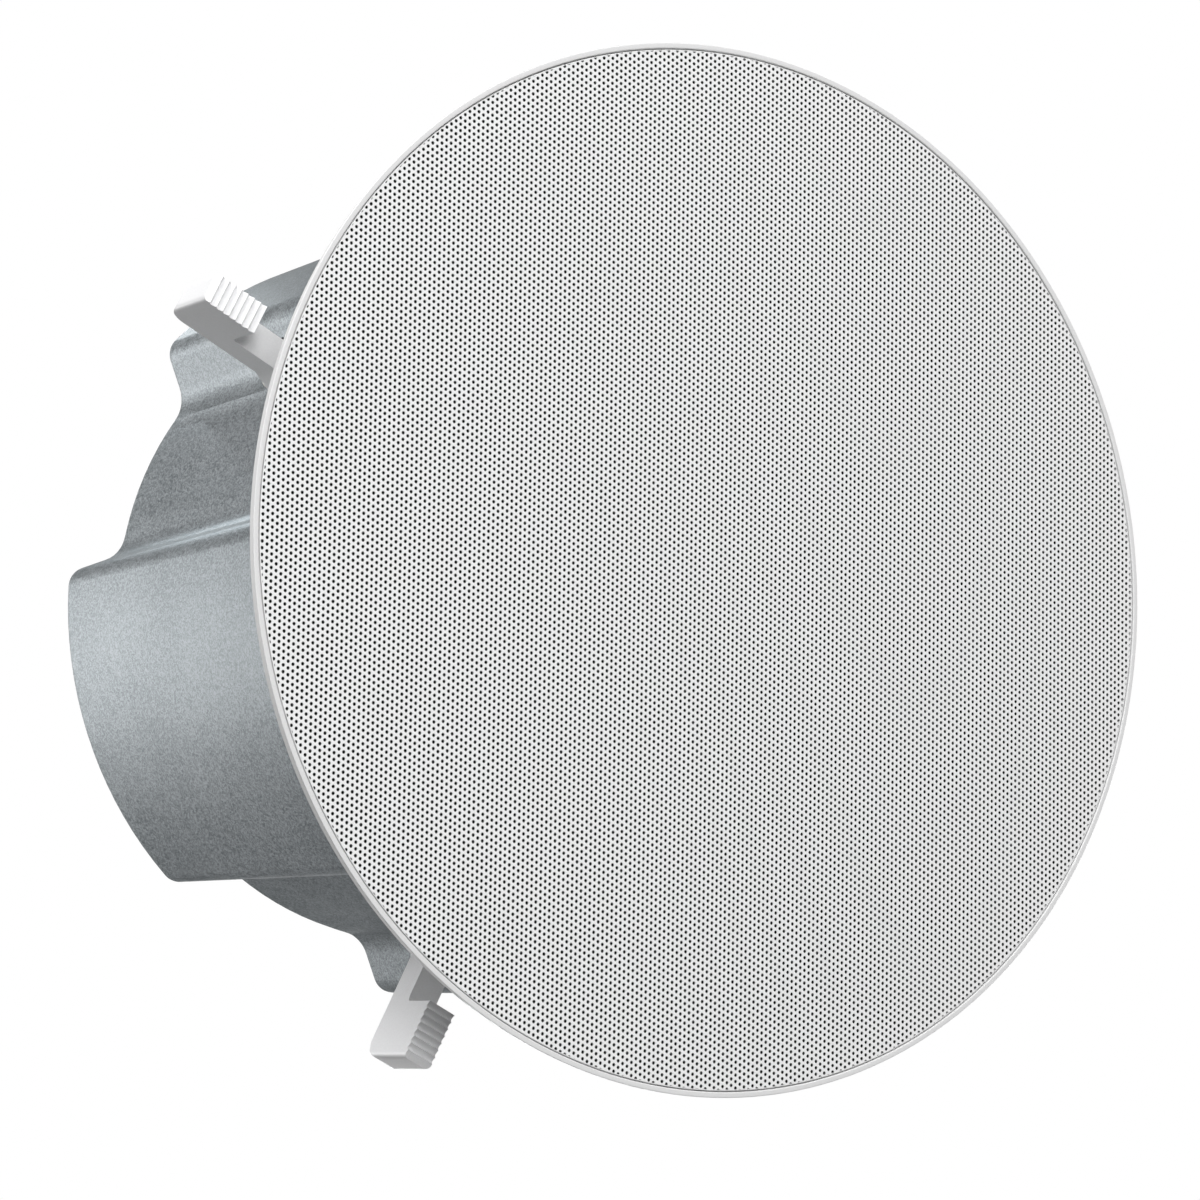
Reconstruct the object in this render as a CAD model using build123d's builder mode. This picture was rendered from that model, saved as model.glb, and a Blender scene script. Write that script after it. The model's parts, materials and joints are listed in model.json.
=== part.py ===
from build123d import *
import os
from math import asin, cos, degrees, hypot, radians, sin, tan

# In-ceiling loudspeaker: a white trim ring and baffle, a round perforated grille, a lobed steel back can,
# four swing-out clamps, a woofer, a tweeter on a bridge, a crossover and a terminal cup.
#
# Millimetres.  +Z points up into the ceiling void and the grille faces down.  The origin is the centre of
# the trim ring's back face, so z = 0 is the surface of the ceiling.  The clamps stand on the X and Y axes.

# Fits that several pieces share
seat_clear = 0.05         # pressed or glued piece in its seat

# Front stack, from the trim ring's back face down to the room
flange_t = 2.0            # trim ring behind the grille
flange_gap = 0.7          # trim ring to acoustic cloth
cloth_t = 0.3             # acoustic cloth
grille_t = 0.8            # grille sheet
grille_inset = 0.2        # grille behind the front edge of the ring's lip

# Woofer, from the cone outwards
cone_r = 62.0             # cone edge radius
roll_r = 4.3              # half-round roll of the surround
surround_t = 1.0          # surround thickness
surround_land = 2.8       # glued outer flange of the surround
hole_margin = 2.4         # roll to the edge of the baffle's woofer hole
neck_clear = 1.5          # basket body inside the woofer hole
screw_land = 5.0          # woofer hole to the circle of fixing screws
rim_margin = 4.0          # screw circle to the edge of the basket rim
rim_t = 2.0               # basket rim thickness
basket_wall = 2.4         # basket wall, measured across
cone_t = 1.0              # cone thickness, measured along Z
cone_lip = 2.4            # flat glue edge of the cone
cone_depth = 25.0         # rim to the cone's neck
dust_cap_r = 20.0         # dust cap radius
dust_cap_rise = 5.0       # dust cap dome height
dust_cap_t = 0.7          # dust cap thickness
dust_cap_clear = 0.1      # glue line under the dust cap's edge
ledge_drop = 7.0          # cone neck to the spider's ledge
ledge_w = 3.4             # width of the spider's ledge
spider_r = 45.0           # spider outer radius
spider_t = 0.6            # spider cloth thickness
spider_wave = 1.2         # height of the spider's corrugations
spider_waves = 4          # corrugations from the former to the ledge
basket_foot = 8.0         # spider's ledge to the back of the basket
basket_floor = 1.6        # basket floor thickness
basket_eye_r = 24.0       # hole in the basket floor
window_count = 6          # windows in the basket wall
leg_w = 14.0              # basket leg between two windows
window_land = 6.0         # basket wall left above and below a window
pole_r = 12.3             # pole piece radius
pole_vent_r = 4.0         # vent through the pole piece
coil_clear = 0.4          # running clearance on each side of the voice coil
former_t = 0.3            # voice-coil former thickness
winding_t = 0.55          # voice-coil winding thickness
winding_h = 13.0          # voice-coil winding length
former_reach = 9.0        # former beyond the top plate
glue_clear = 0.1          # glue line around the former
plate_steel_t = 5.0       # top plate and yoke disc thickness
motor_r = 42.0            # top plate and yoke radius
magnet_r = 45.0           # ring magnet outer radius
magnet_eye_r = 22.0       # ring magnet inner radius
magnet_h = 17.0           # ring magnet height

# Tweeter and its bridge
bridge_gap = 1.2          # acoustic cloth to bridge
bridge_t = 3.5            # bridge arm thickness
bridge_w = 26.0           # bridge arm width
bridge_hub_r = 24.0       # hub around the tweeter
bridge_hub_h = 7.5        # hub height
bridge_round = 1.2        # rounding of the arms' front edges
roll_gap = 2.7            # bridge to the surround's roll, room for the roll to move
post_r = 3.9              # post at each end of the bridge
hub_wall = 3.8            # wall of the hub
tweeter_seat_w = 3.8      # ledge that carries the tweeter
tweeter_seat_t = 2.0      # ledge thickness
tweeter_clear = 0.2       # tweeter in its seat
faceplate_t = 4.0         # tweeter faceplate thickness
dome_r = 13.0             # tweeter dome radius
dome_rise = 2.6           # tweeter dome height
dome_t = 0.4              # tweeter dome thickness
flare_w = 4.0             # flare of the faceplate's mouth
tweeter_magnet_h = 8.0    # tweeter magnet height

# Baffle, collar and trim ring
baffle_t = 3.0            # baffle plate thickness
collar_wall = 2.5         # collar wall
collar_gap = 7.0          # clamp hub to collar
ring_w = 13.5             # trim ring beyond the collar
ring_lip = 1.6            # lip around the grille
lip_round = 0.5           # rounding of the lip's edges
grille_gap = 0.3          # lip to grille
grille_skirt_t = 0.8      # turned edge of the grille
magnet_count = 8          # grille magnets
magnet_disc_r = 4.0       # grille magnet radius
magnet_pocket = 0.8       # depth of a magnet's pocket

# Coarse perforation that stands for the fine one, in staggered rows along X
hole_pitch = 21.0         # spacing in a row, and of the rows
hole_r = 5.6              # corner radius of a six-sided hole
hole_land = 3.0           # plain edge of the grille

# Back can
mouth_land = 10.0         # screw circle to the can's mouth
rim_land = 7.0            # can's turned-in rim between two lobes
can_depth = 171.0         # ceiling surface to the back of the can
can_wall = 1.5            # can wall
can_rim_t = 2.0           # turned-in rim thickness
lobe_rise = 15.5          # lobe beyond the core
lobe_half_w = 47.5        # half the width of a lobe
lobe_corner = 6.0         # outer corners of a lobe
lobe_root = 10.0          # hollow corners between lobe and core
lobe_turn = -3.81         # lobes from the diagonals, degrees
can_draft = 0.9           # draft of the lobes, degrees
gap_step = 0.3            # core wall below the lobes' root at the back
back_round = 3.0          # rounding of the can's back edge
dimple_r = 1.7            # small round recess in the side of each lobe
dimple_depth = 1.1        # depth of that recess
dimple_z = 99.0           # ceiling surface to that recess
gasket_t = 1.0            # foam gasket between baffle and can
can_screw_land = 6.0      # can's mouth to a can screw

# Clamps
hub_gap = 8.0             # can's core to clamp hub
hub_r = 7.0               # clamp hub radius
clamp_open = 38.75        # ceiling surface to the teeth as drawn
foot_gap = 5.1            # collar to the dog's foot
tooth_count = 7           # teeth on the foot
tooth_pitch = 2.06        # tooth spacing
tooth_depth = 0.75        # tooth depth
tooth_face = 0.7          # share of the pitch that the long face takes
foot_margin = 2.0         # last tooth to the dog's outer end
foot_drop = 12.35         # arm's lower face to the teeth
arm_h = 9.55              # arm height
dog_w = 8.25              # arm and foot width
dog_round = 5.5           # rounding of the outer back corner
heel_round = 1.5          # hollow corner between arm and foot
flare_reach = 8.5         # pivot to the end of the hub's flare
flare_tip = 0.5           # straight end of the flare
travel_up = 8.0           # room for the dog above its drawn place
boss_r = 6.0              # boss around a clamp screw
boss_h = 3.0              # boss height
clamp_screw_r = 2.5       # clamp screw radius
clamp_clear = 0.05        # clamp screw in its dog and boss
clamp_head_r = 4.5        # clamp screw head radius
clamp_head_h = 3.0        # clamp screw head height
clamp_tip = 3.0           # screw beyond the dog at its highest

# Small screws
screw_r = 1.45            # screw radius
screw_clear = 0.05        # screw in its hole
screw_head_r = 3.2        # pan head radius
screw_head_h = 2.0        # pan head height
head_clear = 0.2          # pan head in its counterbore
screw_bite = 6.0          # screw beyond the sheet that it holds

# Crossover, on the inside of the can's back
board_x = 80.0
board_y = 56.0
board_t = 1.6
board_at_y = -38.0        # board centre from the axis
standoff_r = 3.0
standoff_h = 8.0
standoff_inset = 6.0      # standoff from the board's edges
coil_r = 12.0
coil_eye_r = 5.0
coil_h = 14.0
coil_space = 30.0         # spacing of the two coils
coil_at_y = -12.0         # coils from the board's centre
capacitor_r = 6.0
capacitor_l = 24.0
capacitor_space = 34.0    # spacing of the two capacitors
capacitor_at_y = 8.0      # capacitors from the board's centre
capacitor_flat = 0.6      # flat of a capacitor on the board
resistor_l = 24.0
resistor_w = 9.0
resistor_at_y = 21.0      # resistor from the board's centre

# Terminal cup in the can's back, with two spring push terminals
cup_at_y = 45.0           # cup centre from the axis
cup_x = 46.0              # hole in the can
cup_y = 30.0
cup_corner = 3.0
cup_clear = 0.3           # cup in its hole
cup_depth = 14.0
cup_wall = 1.8
cup_flange_w = 7.0
cup_flange_t = 2.0
tower_x = 15.0            # socket of one push terminal
tower_y = 18.0
tower_space = 20.0        # spacing of the two sockets
tower_top = 1.0           # can's back to the top of a socket
button_x = 10.0
button_y = 12.0
button_clear = 0.2        # button in its socket
button_proud = 2.5        # button above the can's back
button_h = 8.5
button_round = 0.8
wire_hole_r = 1.3         # hole for a bare wire, across the button
wire_hole_drop = 1.9      # top of the button to that hole
spring_r = 2.8            # outer radius of the push spring
spring_wire = 0.8         # its wire

# Safety loop on the can's back
loop_inset = 33.0         # bracket from the can's core
loop_w = 14.0
loop_l = 22.0
loop_t = 1.5
loop_h = 18.0
loop_hole_r = 4.0
loop_hole_h = 11.0        # hole above the can's back
loop_bend = 1.0           # hollow corner of the bend
loop_round = 5.0          # rounding of the upright's top corners
rivet_r = 1.6
rivet_head_r = 3.0
rivet_head_h = 1.0
rivet_land = 6.0          # upright to the first rivet
rivet_space = 9.0         # spacing of the rivets

# Levels along Z
flange_front = -flange_t
cloth_back = flange_front - flange_gap
grille_back = cloth_back - cloth_t
grille_front = grille_back - grille_t
ring_front = grille_front - grille_inset
bridge_front = cloth_back + bridge_gap
bridge_back = bridge_front + bridge_t
rim_front = bridge_back + roll_gap + roll_r + surround_t
baffle_front = rim_front + rim_t
baffle_back = baffle_front + baffle_t
can_front = baffle_back + gasket_t
can_inside = can_depth - can_wall
neck_z = rim_front + cone_depth
ledge_z = neck_z + ledge_drop
basket_back = ledge_z + basket_foot
top_plate_back = basket_back + plate_steel_t
magnet_back = top_plate_back + magnet_h
yoke_back = magnet_back + plate_steel_t

# Radii, from the woofer outwards
roll_outer = cone_r + 2 * roll_r
woofer_hole_r = roll_outer + hole_margin
basket_neck_r = woofer_hole_r - neck_clear
screw_circle = woofer_hole_r + screw_land
rim_r = screw_circle + rim_margin
mouth_r = screw_circle + mouth_land
core_r = mouth_r + rim_land
loop_at_x = core_r - loop_inset
lobe_r = core_r + lobe_rise
pivot_r = core_r + hub_gap + hub_r
collar_r = pivot_r + hub_r + collar_gap + collar_wall
ring_r = collar_r + ring_w
grille_r = ring_r - ring_lip - grille_gap
can_screw_circle = mouth_r + can_screw_land
clamp_hole_r = clamp_screw_r + clamp_clear
screw_hole_r = screw_r + screw_clear
former_in = pole_r + coil_clear
former_out = former_in + former_t
winding_out = former_out + winding_t
plate_eye_r = winding_out + coil_clear
neck_r = former_out + glue_clear

# Angles about Z
lobe_angle = 45 + lobe_turn
woofer_screw_angles = [45, 135, 225, 315]
bridge_screw_angles = [0, 180]

os.makedirs("parts", exist_ok=True)


def polar(radius, angle):
    """The point at a radius and an angle in degrees."""
    return radius * cos(radians(angle)), radius * sin(radians(angle))


def save(builder, name):
    """Label a finished piece and write it."""
    builder.part.label = name
    export_step(builder.part, f"parts/{name}.step")


# Baffle: trim ring, collar and baffle plate, one moulding
collar_in = collar_r - collar_wall
lip_in = ring_r - ring_lip
magnet_circle = (collar_in + grille_r - grille_skirt_t) / 2
small_holes = [polar(screw_circle, angle) for angle in woofer_screw_angles + bridge_screw_angles]
can_screw_points = [polar(can_screw_circle, lobe_angle + 90 * lobe) for lobe in range(4)]
clamp_points = [polar(pivot_r, 90 * clamp) for clamp in range(4)]

with BuildPart() as baffle:
    with BuildSketch(Plane.XZ):
        with BuildLine():
            Polyline(
                (woofer_hole_r, baffle_front),
                (collar_in, baffle_front),
                (collar_in, flange_front),
                (lip_in, flange_front),
                (lip_in, ring_front),
                (ring_r, ring_front),
                (ring_r, 0),
                (collar_r, 0),
                (collar_r, baffle_back),
                (woofer_hole_r, baffle_back),
                close=True,
            )
        make_face()
    revolve(axis=Axis.Z)
    fillet(baffle.edges().group_by(Axis.Z)[0], radius=lip_round)
    with BuildSketch(Plane.XY.offset(baffle_back)):
        with Locations(*clamp_points):
            Circle(boss_r)
    extrude(amount=boss_h)
    with BuildSketch(Plane.XY.offset(baffle_front)):
        with Locations(*clamp_points):
            Circle(clamp_hole_r)
        with Locations(*small_holes, *can_screw_points):
            Circle(screw_hole_r)
    extrude(amount=baffle_t + boss_h, mode=Mode.SUBTRACT)
    with BuildSketch(Plane.XY.offset(flange_front)):
        with PolarLocations(magnet_circle, magnet_count):
            Circle(magnet_disc_r + seat_clear)
    extrude(amount=magnet_pocket, mode=Mode.SUBTRACT)
save(baffle, "baffle")

# Grille magnets, pressed into the trim ring and level with the cloth
with BuildPart() as grille_magnets:
    with BuildSketch(Plane.XY.offset(cloth_back)):
        with PolarLocations(magnet_circle, magnet_count):
            Circle(magnet_disc_r)
    extrude(amount=flange_gap + magnet_pocket)
save(grille_magnets, "grille_magnets")

# Grille: perforated sheet with a turned edge that stands on the trim ring
row_limit = grille_r - grille_skirt_t - hole_land - hole_r
row_count = int(row_limit / hole_pitch) + 1
hole_centres = []
for row in range(-row_count, row_count + 1):
    shift = hole_pitch / 2 if row % 2 else 0
    for column in range(-row_count - 1, row_count + 1):
        centre = (column * hole_pitch + shift, row * hole_pitch)
        if hypot(*centre) <= row_limit:
            hole_centres.append(centre)

with BuildPart() as grille:
    with BuildSketch(Plane.XY.offset(grille_front)):
        Circle(grille_r)
    extrude(amount=grille_t)
    fillet(grille.edges().group_by(Axis.Z)[0], radius=grille_t / 2)
    with BuildSketch(Plane.XY.offset(grille_back)):
        Circle(grille_r)
        Circle(grille_r - grille_skirt_t, mode=Mode.SUBTRACT)
    extrude(amount=cloth_t + flange_gap)
    with BuildSketch(Plane.XY.offset(grille_front)):
        with Locations(*hole_centres):
            RegularPolygon(radius=hole_r, side_count=6)
    extrude(amount=grille_t, mode=Mode.SUBTRACT)
save(grille, "grille")

# Acoustic cloth bonded to the back of the grille
with BuildPart() as grille_cloth:
    with BuildSketch(Plane.XY.offset(grille_back)):
        Circle(grille_r - grille_skirt_t - grille_gap)
    extrude(amount=cloth_t)
save(grille_cloth, "grille_cloth")


# Back can: a straight round core with four drafted lobes
def looking_down(level):
    """The plane at a level, seen from above the can, so that what is drawn there is extruded down."""
    return Plane(origin=(0, 0, level), x_dir=(1, 0, 0), z_dir=(0, 0, -1))


def lobed_outline(level, inset):
    """The outline of core and lobes at a level, moved inwards by inset."""
    mid_r = (core_r + lobe_r) / 2 - inset
    with BuildSketch(looking_down(level)) as outline:
        for turn in (0, 90):
            Rectangle(2 * lobe_r, 2 * (lobe_half_w - inset), rotation=turn - lobe_angle)
        Circle(lobe_r - inset, mode=Mode.INTERSECT)
        Circle(core_r - inset)
        corners = outline.vertices().filter_by(lambda corner: hypot(corner.X, corner.Y) > mid_r)
        fillet(corners, lobe_corner - inset)
        roots = outline.vertices().filter_by(lambda root: hypot(root.X, root.Y) < mid_r)
        fillet(roots, lobe_root + inset)
    return outline.sketch


def lobed_block(inset, top, bottom, edge_round):
    """The can's solid form, moved inwards by inset, between two levels."""
    root_angle = degrees(asin((lobe_half_w + lobe_root) / (core_r + lobe_root)))
    gap_half = 45 - root_angle + degrees(inset / core_r)
    wedge_l = 2 * lobe_r
    wedge_half = wedge_l * tan(radians(gap_half))
    with BuildPart() as block:
        extrude(lobed_outline(top, inset), amount=top - bottom, taper=-can_draft)
        if edge_round > 0:
            fillet(block.edges().group_by(Axis.Z)[-1], edge_round)
        with BuildSketch(Plane.XY.offset(bottom)):
            with PolarLocations(0, 4, start_angle=lobe_angle + 45):
                Polygon((0, 0), (wedge_l, -wedge_half), (wedge_l, wedge_half), align=None)
            Circle(core_r - gap_step - inset, mode=Mode.SUBTRACT)
        extrude(amount=top - bottom, mode=Mode.SUBTRACT)
    return block.part


def lobe_frame(lobe):
    """The plane of one lobe: X outwards along the lobe, Z up."""
    angle = lobe_angle + 90 * lobe
    return Plane(origin=(0, 0, 0), x_dir=(*polar(1, angle), 0), z_dir=(0, 0, 1))


outer_form = lobed_block(0, can_depth, can_front, back_round)
inner_form = lobed_block(can_wall, can_inside, can_front + can_rim_t, 0)
rivet_points = [(loop_at_x + loop_t + rivet_land, 0), (loop_at_x + loop_t + rivet_land + rivet_space, 0)]
side_at_dimple = lobe_half_w + (can_depth - dimple_z) * tan(radians(can_draft))
dimple_x = (core_r + lobe_r) / 2 * cos(asin(lobe_half_w / ((core_r + lobe_r) / 2)))
cup_flange_x = cup_x + 2 * cup_flange_w
cup_flange_y = cup_y + 2 * cup_flange_w
cup_screw_x = cup_flange_x - cup_flange_w
cup_screw_y = cup_flange_y - cup_flange_w

with BuildPart() as back_can:
    add(outer_form)
    add(inner_form, mode=Mode.SUBTRACT)
    with BuildSketch(Plane.XY.offset(can_front)):
        Circle(mouth_r)
        with Locations(*can_screw_points):
            Circle(screw_hole_r)
    extrude(amount=can_rim_t, mode=Mode.SUBTRACT)
    with BuildSketch(Plane.XY.offset(can_inside)):
        with Locations((0, cup_at_y)):
            RectangleRounded(cup_x, cup_y, cup_corner)
            with GridLocations(cup_screw_x, cup_screw_y, 2, 2):
                Circle(screw_hole_r)
        with Locations(*rivet_points):
            Circle(rivet_r + screw_clear)
    extrude(amount=can_wall, mode=Mode.SUBTRACT)
    for lobe in range(4):
        across = lobe_frame(lobe)
        side = Plane(
            origin=across.from_local_coords((dimple_x, -side_at_dimple, dimple_z)),
            x_dir=(0, 0, 1),
            z_dir=across.y_dir,
        )
        with BuildSketch(side):
            Circle(dimple_r)
        extrude(amount=dimple_depth, both=True, mode=Mode.SUBTRACT)
save(back_can, "back_can")

# Foam gasket between the baffle and the can's rim
with BuildPart() as can_gasket:
    extrude(lobed_outline(can_front, 0), amount=gasket_t)
    with BuildSketch(Plane.XY.offset(baffle_back)):
        Circle(mouth_r)
        with Locations(*can_screw_points):
            Circle(screw_hole_r)
    extrude(amount=gasket_t, mode=Mode.SUBTRACT)
save(can_gasket, "can_gasket")


def dome(radius, rise, thickness, edge):
    """A round shell's cap that bulges towards the room from its edge's level."""
    shell_r = (radius**2 + rise**2) / (2 * rise)
    with BuildPart() as cap:
        with Locations((0, 0, edge - rise + shell_r)):
            Sphere(shell_r)
            Sphere(shell_r - thickness, mode=Mode.SUBTRACT)
        split(bisect_by=Plane.XY.offset(edge), keep=Keep.BOTTOM)
    return cap


def pan_screws(points, seat, length):
    """Pan-head screws driven up from a seat, their heads below it."""
    with BuildPart() as screws:
        with BuildSketch(Plane.XY.offset(seat)):
            with Locations(*points):
                Circle(screw_r)
        extrude(amount=length)
        with BuildSketch(Plane.XY.offset(seat)):
            with Locations(*points):
                Circle(screw_head_r)
        extrude(amount=-screw_head_h)
        fillet(screws.edges().group_by(Axis.Z)[0], screw_head_h / 2)
    return screws


can_screw_l = baffle_t + gasket_t + can_rim_t + screw_bite
save(pan_screws(can_screw_points, baffle_front, can_screw_l), "can_screws")

# Clamps: a long screw and a dog with a toothed foot on each axis
teeth_z = clamp_open
arm_low = teeth_z + foot_drop
arm_top = arm_low + arm_h
foot_in = collar_r + foot_gap
teeth_out = foot_in + tooth_count * tooth_pitch
dog_end = teeth_out + foot_margin
screw_tip = arm_top + travel_up + clamp_tip

teeth = []
for tooth in range(tooth_count):
    start = foot_in + tooth * tooth_pitch
    teeth.append((start, teeth_z))
    teeth.append((start + tooth_face * tooth_pitch, teeth_z + tooth_depth))

for clamp in range(4):
    angle = 90 * clamp
    flat = Plane(origin=(0, 0, arm_low), x_dir=(*polar(1, angle), 0), z_dir=(0, 0, 1))
    upright = Plane(origin=(0, 0, 0), x_dir=flat.x_dir, z_dir=-flat.y_dir)

    with BuildPart() as clamp_screw:
        with BuildSketch(flat.offset(baffle_front - arm_low)):
            with Locations((pivot_r, 0)):
                Circle(clamp_screw_r)
        extrude(amount=screw_tip - baffle_front)
        chamfer(clamp_screw.edges().group_by(Axis.Z)[-1], clamp_screw_r / 4)
        with BuildSketch(flat.offset(baffle_front - arm_low)):
            with Locations((pivot_r, 0)):
                Circle(clamp_head_r)
        extrude(amount=-clamp_head_h)
        fillet(clamp_screw.edges().group_by(Axis.Z)[0], clamp_head_h / 3)
    save(clamp_screw, f"clamp_screw_{clamp + 1}")

    with BuildPart() as clamp_dog:
        with BuildSketch(upright) as side_view:
            with BuildLine():
                Polyline(
                    (pivot_r, arm_low),
                    (foot_in, arm_low),
                    *teeth,
                    (teeth_out, teeth_z),
                    (dog_end, teeth_z + tooth_depth),
                    (dog_end, arm_top),
                    (pivot_r, arm_top),
                    close=True,
                )
            make_face()
            outer_end = side_view.vertices().sort_by(Axis.X)[-2:]
            fillet(outer_end.sort_by(Axis.Y)[-1], dog_round)
            heel = side_view.vertices().filter_by(lambda corner: abs(corner.X - foot_in) < tooth_depth)
            fillet(heel.sort_by(Axis.Y)[-1], heel_round)
        extrude(amount=dog_w / 2, both=True)
        with BuildSketch(flat) as hub_view:
            with Locations((pivot_r, 0)):
                Circle(hub_r)
            with Locations((pivot_r + flare_reach, 0)):
                Rectangle(flare_tip, dog_w)
            make_hull(hub_view.edges())
        extrude(amount=arm_h)
        with BuildSketch(flat):
            with Locations((pivot_r, 0)):
                Circle(clamp_hole_r)
        extrude(amount=arm_h, mode=Mode.SUBTRACT)
    save(clamp_dog, f"clamp_dog_{clamp + 1}")


# Woofer
def turned(points):
    """A turned piece from the corners of its half section, as radius and height."""
    with BuildPart() as piece:
        with BuildSketch(Plane.XZ):
            with BuildLine():
                Polyline(*points, close=True)
            make_face()
        revolve(axis=Axis.Z)
    return piece


basket_in = spider_r + seat_clear
basket_r = basket_in + basket_wall
ledge_in = spider_r - ledge_w
with BuildPart() as woofer_basket:
    with BuildSketch(Plane.XZ):
        with BuildLine():
            Polyline(
                (basket_neck_r - basket_wall, rim_front),
                (rim_r, rim_front),
                (rim_r, baffle_front),
                (basket_neck_r, baffle_front),
                (basket_r, ledge_z + basket_floor),
                (ledge_in + basket_floor, ledge_z + basket_floor),
                (ledge_in + basket_floor, basket_back),
                (basket_eye_r, basket_back),
                (basket_eye_r, basket_back - basket_floor),
                (ledge_in, basket_back - basket_floor),
                (ledge_in, ledge_z),
                (basket_in, ledge_z),
                close=True,
            )
        make_face()
    revolve(axis=Axis.Z)
    with BuildSketch(Plane.XY.offset(baffle_front)):
        Circle(basket_neck_r - window_land)
        Circle(basket_r + window_land / 2, mode=Mode.SUBTRACT)
        with PolarLocations(0, window_count):
            Rectangle(rim_r, leg_w, align=(Align.MIN, Align.CENTER), mode=Mode.SUBTRACT)
    extrude(amount=ledge_z - baffle_front, mode=Mode.SUBTRACT)
    with BuildSketch(Plane.XY.offset(rim_front)):
        with Locations(*small_holes):
            Circle(screw_hole_r)
    extrude(amount=rim_t, mode=Mode.SUBTRACT)
save(woofer_basket, "woofer_basket")

roll_front = rim_front - surround_t
roll_mid = cone_r + roll_r
with BuildPart() as woofer_surround:
    with BuildSketch(Plane.XZ):
        with BuildLine():
            Line((cone_r - cone_lip, roll_front), (cone_r, roll_front))
            ThreePointArc((cone_r, roll_front), (roll_mid, roll_front - roll_r), (roll_outer, roll_front))
            Line((roll_outer, roll_front), (roll_outer + surround_land, roll_front))
            Line((roll_outer + surround_land, roll_front), (roll_outer + surround_land, rim_front))
            Line((roll_outer + surround_land, rim_front), (roll_outer - surround_t, rim_front))
            ThreePointArc(
                (roll_outer - surround_t, rim_front),
                (roll_mid, roll_front - roll_r + surround_t),
                (cone_r + surround_t, rim_front),
            )
            Line((cone_r + surround_t, rim_front), (cone_r - cone_lip, rim_front))
            Line((cone_r - cone_lip, rim_front), (cone_r - cone_lip, roll_front))
        make_face()
    revolve(axis=Axis.Z)
save(woofer_surround, "woofer_surround")

cone_edge = cone_r - cone_lip
woofer_cone = turned(
    [
        (cone_r, rim_front),
        (cone_r, rim_front + cone_t),
        (cone_edge, rim_front + cone_t),
        (neck_r, neck_z + cone_t),
        (neck_r, neck_z),
        (cone_edge, rim_front),
    ]
)
save(woofer_cone, "woofer_cone")

# Dust cap: a dome whose edge stands just in front of the cone's face
cone_slope = (neck_z - rim_front) / (cone_edge - neck_r)
cap_edge = neck_z - (dust_cap_r - neck_r) * cone_slope - dust_cap_clear
save(dome(dust_cap_r, dust_cap_rise, dust_cap_t, cap_edge), "woofer_dust_cap")

# Spider: a corrugated ring between the former and the basket's ledge
wave_l = (ledge_in - neck_r) / (2 * spider_waves + 1)
spider_front = ledge_z - spider_t
waves = [(neck_r, 0)]
for crest in range(2 * spider_waves):
    waves.append((neck_r + (crest + 1) * wave_l, spider_wave if crest % 2 else -spider_wave))
waves += [(ledge_in, 0), (spider_r, 0)]
woofer_spider = turned(
    [(radius, spider_front + rise) for radius, rise in waves]
    + [(radius, ledge_z + rise) for radius, rise in reversed(waves)]
)
save(woofer_spider, "woofer_spider")

former_back = top_plate_back + former_reach
winding_mid = (basket_back + top_plate_back) / 2
voice_coil_former = turned(
    [(former_in, neck_z), (former_out, neck_z), (former_out, former_back), (former_in, former_back)]
)
save(voice_coil_former, "voice_coil_former")
voice_coil_winding = turned(
    [
        (former_out, winding_mid - winding_h / 2),
        (winding_out, winding_mid - winding_h / 2),
        (winding_out, winding_mid + winding_h / 2),
        (former_out, winding_mid + winding_h / 2),
    ]
)
save(voice_coil_winding, "voice_coil_winding")

woofer_top_plate = turned(
    [
        (plate_eye_r, basket_back),
        (motor_r, basket_back),
        (motor_r, top_plate_back),
        (plate_eye_r, top_plate_back),
    ]
)
save(woofer_top_plate, "woofer_top_plate")
woofer_magnet = turned(
    [
        (magnet_eye_r, top_plate_back),
        (magnet_r, top_plate_back),
        (magnet_r, magnet_back),
        (magnet_eye_r, magnet_back),
    ]
)
save(woofer_magnet, "woofer_magnet")
woofer_yoke = turned(
    [
        (pole_vent_r, basket_back),
        (pole_r, basket_back),
        (pole_r, magnet_back),
        (motor_r, magnet_back),
        (motor_r, yoke_back),
        (pole_vent_r, yoke_back),
    ]
)
save(woofer_yoke, "woofer_yoke")

woofer_screw_points = [polar(screw_circle, angle) for angle in woofer_screw_angles]
save(pan_screws(woofer_screw_points, rim_front, rim_t + baffle_t + screw_bite), "woofer_screws")

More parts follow.
